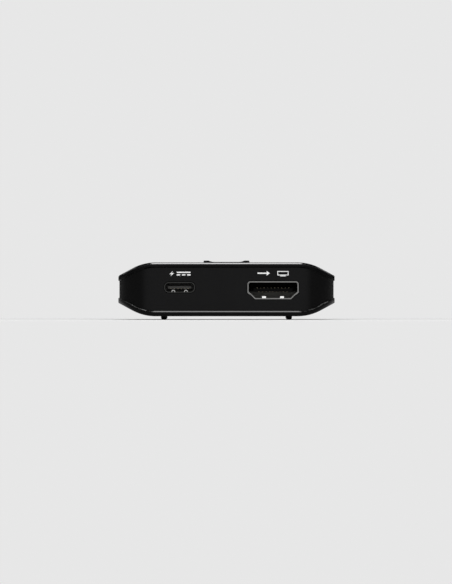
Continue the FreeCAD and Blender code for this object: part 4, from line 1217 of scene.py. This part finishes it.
class SPLITTER_OT_add_studio(bpy.types.Operator):
    """Set the floor, the lamps and the camera"""

    bl_idname = "splitter.add_studio"
    bl_label = "Studio"

    def execute(self, context):
        low, high = CAD_BOX
        bpy.ops.mesh.primitive_plane_add(size=40.0, location=(0, 0, 0))
        floor = context.object
        floor.name = "studio_floor"
        floor.data.materials.append(floor_material())
        light_world()
        middle = (low + high) / 2
        softbox("top_box", spot=(0, -0.037, high.z + 0.12), aim=(0, -0.037, 0),
                wide=0.09, tall=0.08, brightness=12.0, lights=False)
        softbox("front_box", spot=(0, -0.5, 0.58), aim=middle,
                wide=0.7, tall=0.3, brightness=4.0)
        dark_card("hood", spot=(0, 0.012, high.z + 0.125), turn=(0, 0, 0),
                  wide=0.32, tall=0.195)
        for name, side in (("left", -1), ("right", 1)):
            dark_card(f"{name}_flag", spot=(side * 0.25, -0.3, 0.08),
                      turn=(0, math.pi / 2, 0), wide=0.16, tall=1.2)
            dark_card(f"{name}_rear_flag", spot=(side * 0.21, 0.25, 0.02),
                      turn=(math.pi / 2, 0, 0), wide=0.3, tall=0.16)
            softbox(f"{name}_box", spot=(side * 0.45, -0.22, 0.5), aim=middle,
                    wide=0.4, tall=0.3, brightness=2.5, lights=False)
        self.set_camera(context, low)
        return {"FINISHED"}

    def set_camera(self, context, low):
        """Looks straight at the front, with the case where the photograph has it."""
        eye = bpy.data.cameras.new("front_camera")
        eye.sensor_width = 36.0
        away = sizes().camera_away
        eye.lens = eye.sensor_width * away * PIXELS / PICTURE_TALL
        eye.clip_start = 0.01
        eye.clip_end = 100.0
        camera = bpy.data.objects.new("front_camera", eye)
        context.scene.collection.objects.link(camera)
        camera.location = (
            (PICTURE_WIDE / 2 - CASE_X) / PIXELS,
            low.y - away,
            CASE_LEVEL - (PICTURE_TALL / 2 - CASE_Y) / PIXELS,
        )
        camera.rotation_euler = (math.pi / 2, 0, 0)
        context.scene.camera = camera


class SPLITTER_PT_panel(bpy.types.Panel):
    """Lists the steps, sizes and colours"""

    bl_label = "Splitter"
    bl_idname = "SPLITTER_PT_panel"
    bl_space_type = "VIEW_3D"
    bl_region_type = "UI"
    bl_category = "Splitter"

    def draw(self, context):
        column = self.layout.column()
        for step in STEPS:
            column.operator(step.bl_idname)
        for group in (context.scene.splitter_sizes, context.scene.splitter_colours):
            box = self.layout.box()
            for name in group.bl_rna.properties.keys():
                if name not in ("rna_type", "name"):
                    box.prop(group, name)


STEPS = (
    SPLITTER_OT_dress_case,
    SPLITTER_OT_dress_receptacles,
    SPLITTER_OT_dress_board,
    SPLITTER_OT_round_covers,
    SPLITTER_OT_round_strips,
    SPLITTER_OT_spring_dome,
    SPLITTER_OT_add_screws,
    SPLITTER_OT_add_marks,
    SPLITTER_OT_add_gaskets,
    SPLITTER_OT_add_studio,
)
CLASSES = (SplitterSizes, SplitterColours, *STEPS, SPLITTER_PT_panel)


def register():
    for piece in CLASSES:
        bpy.utils.register_class(piece)
    bpy.types.Scene.splitter_sizes = PointerProperty(type=SplitterSizes)
    bpy.types.Scene.splitter_colours = PointerProperty(type=SplitterColours)


def unregister():
    del bpy.types.Scene.splitter_colours
    del bpy.types.Scene.splitter_sizes
    for piece in reversed(CLASSES):
        bpy.utils.unregister_class(piece)


def main():
    """Dresses the frame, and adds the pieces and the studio."""
    register()
    bpy.context.scene.view_settings.view_transform = "Standard"
    for step in STEPS:
        group, name = step.bl_idname.split(".")
        getattr(getattr(bpy.ops, group), name)()


if __name__ == "__main__":
    main()
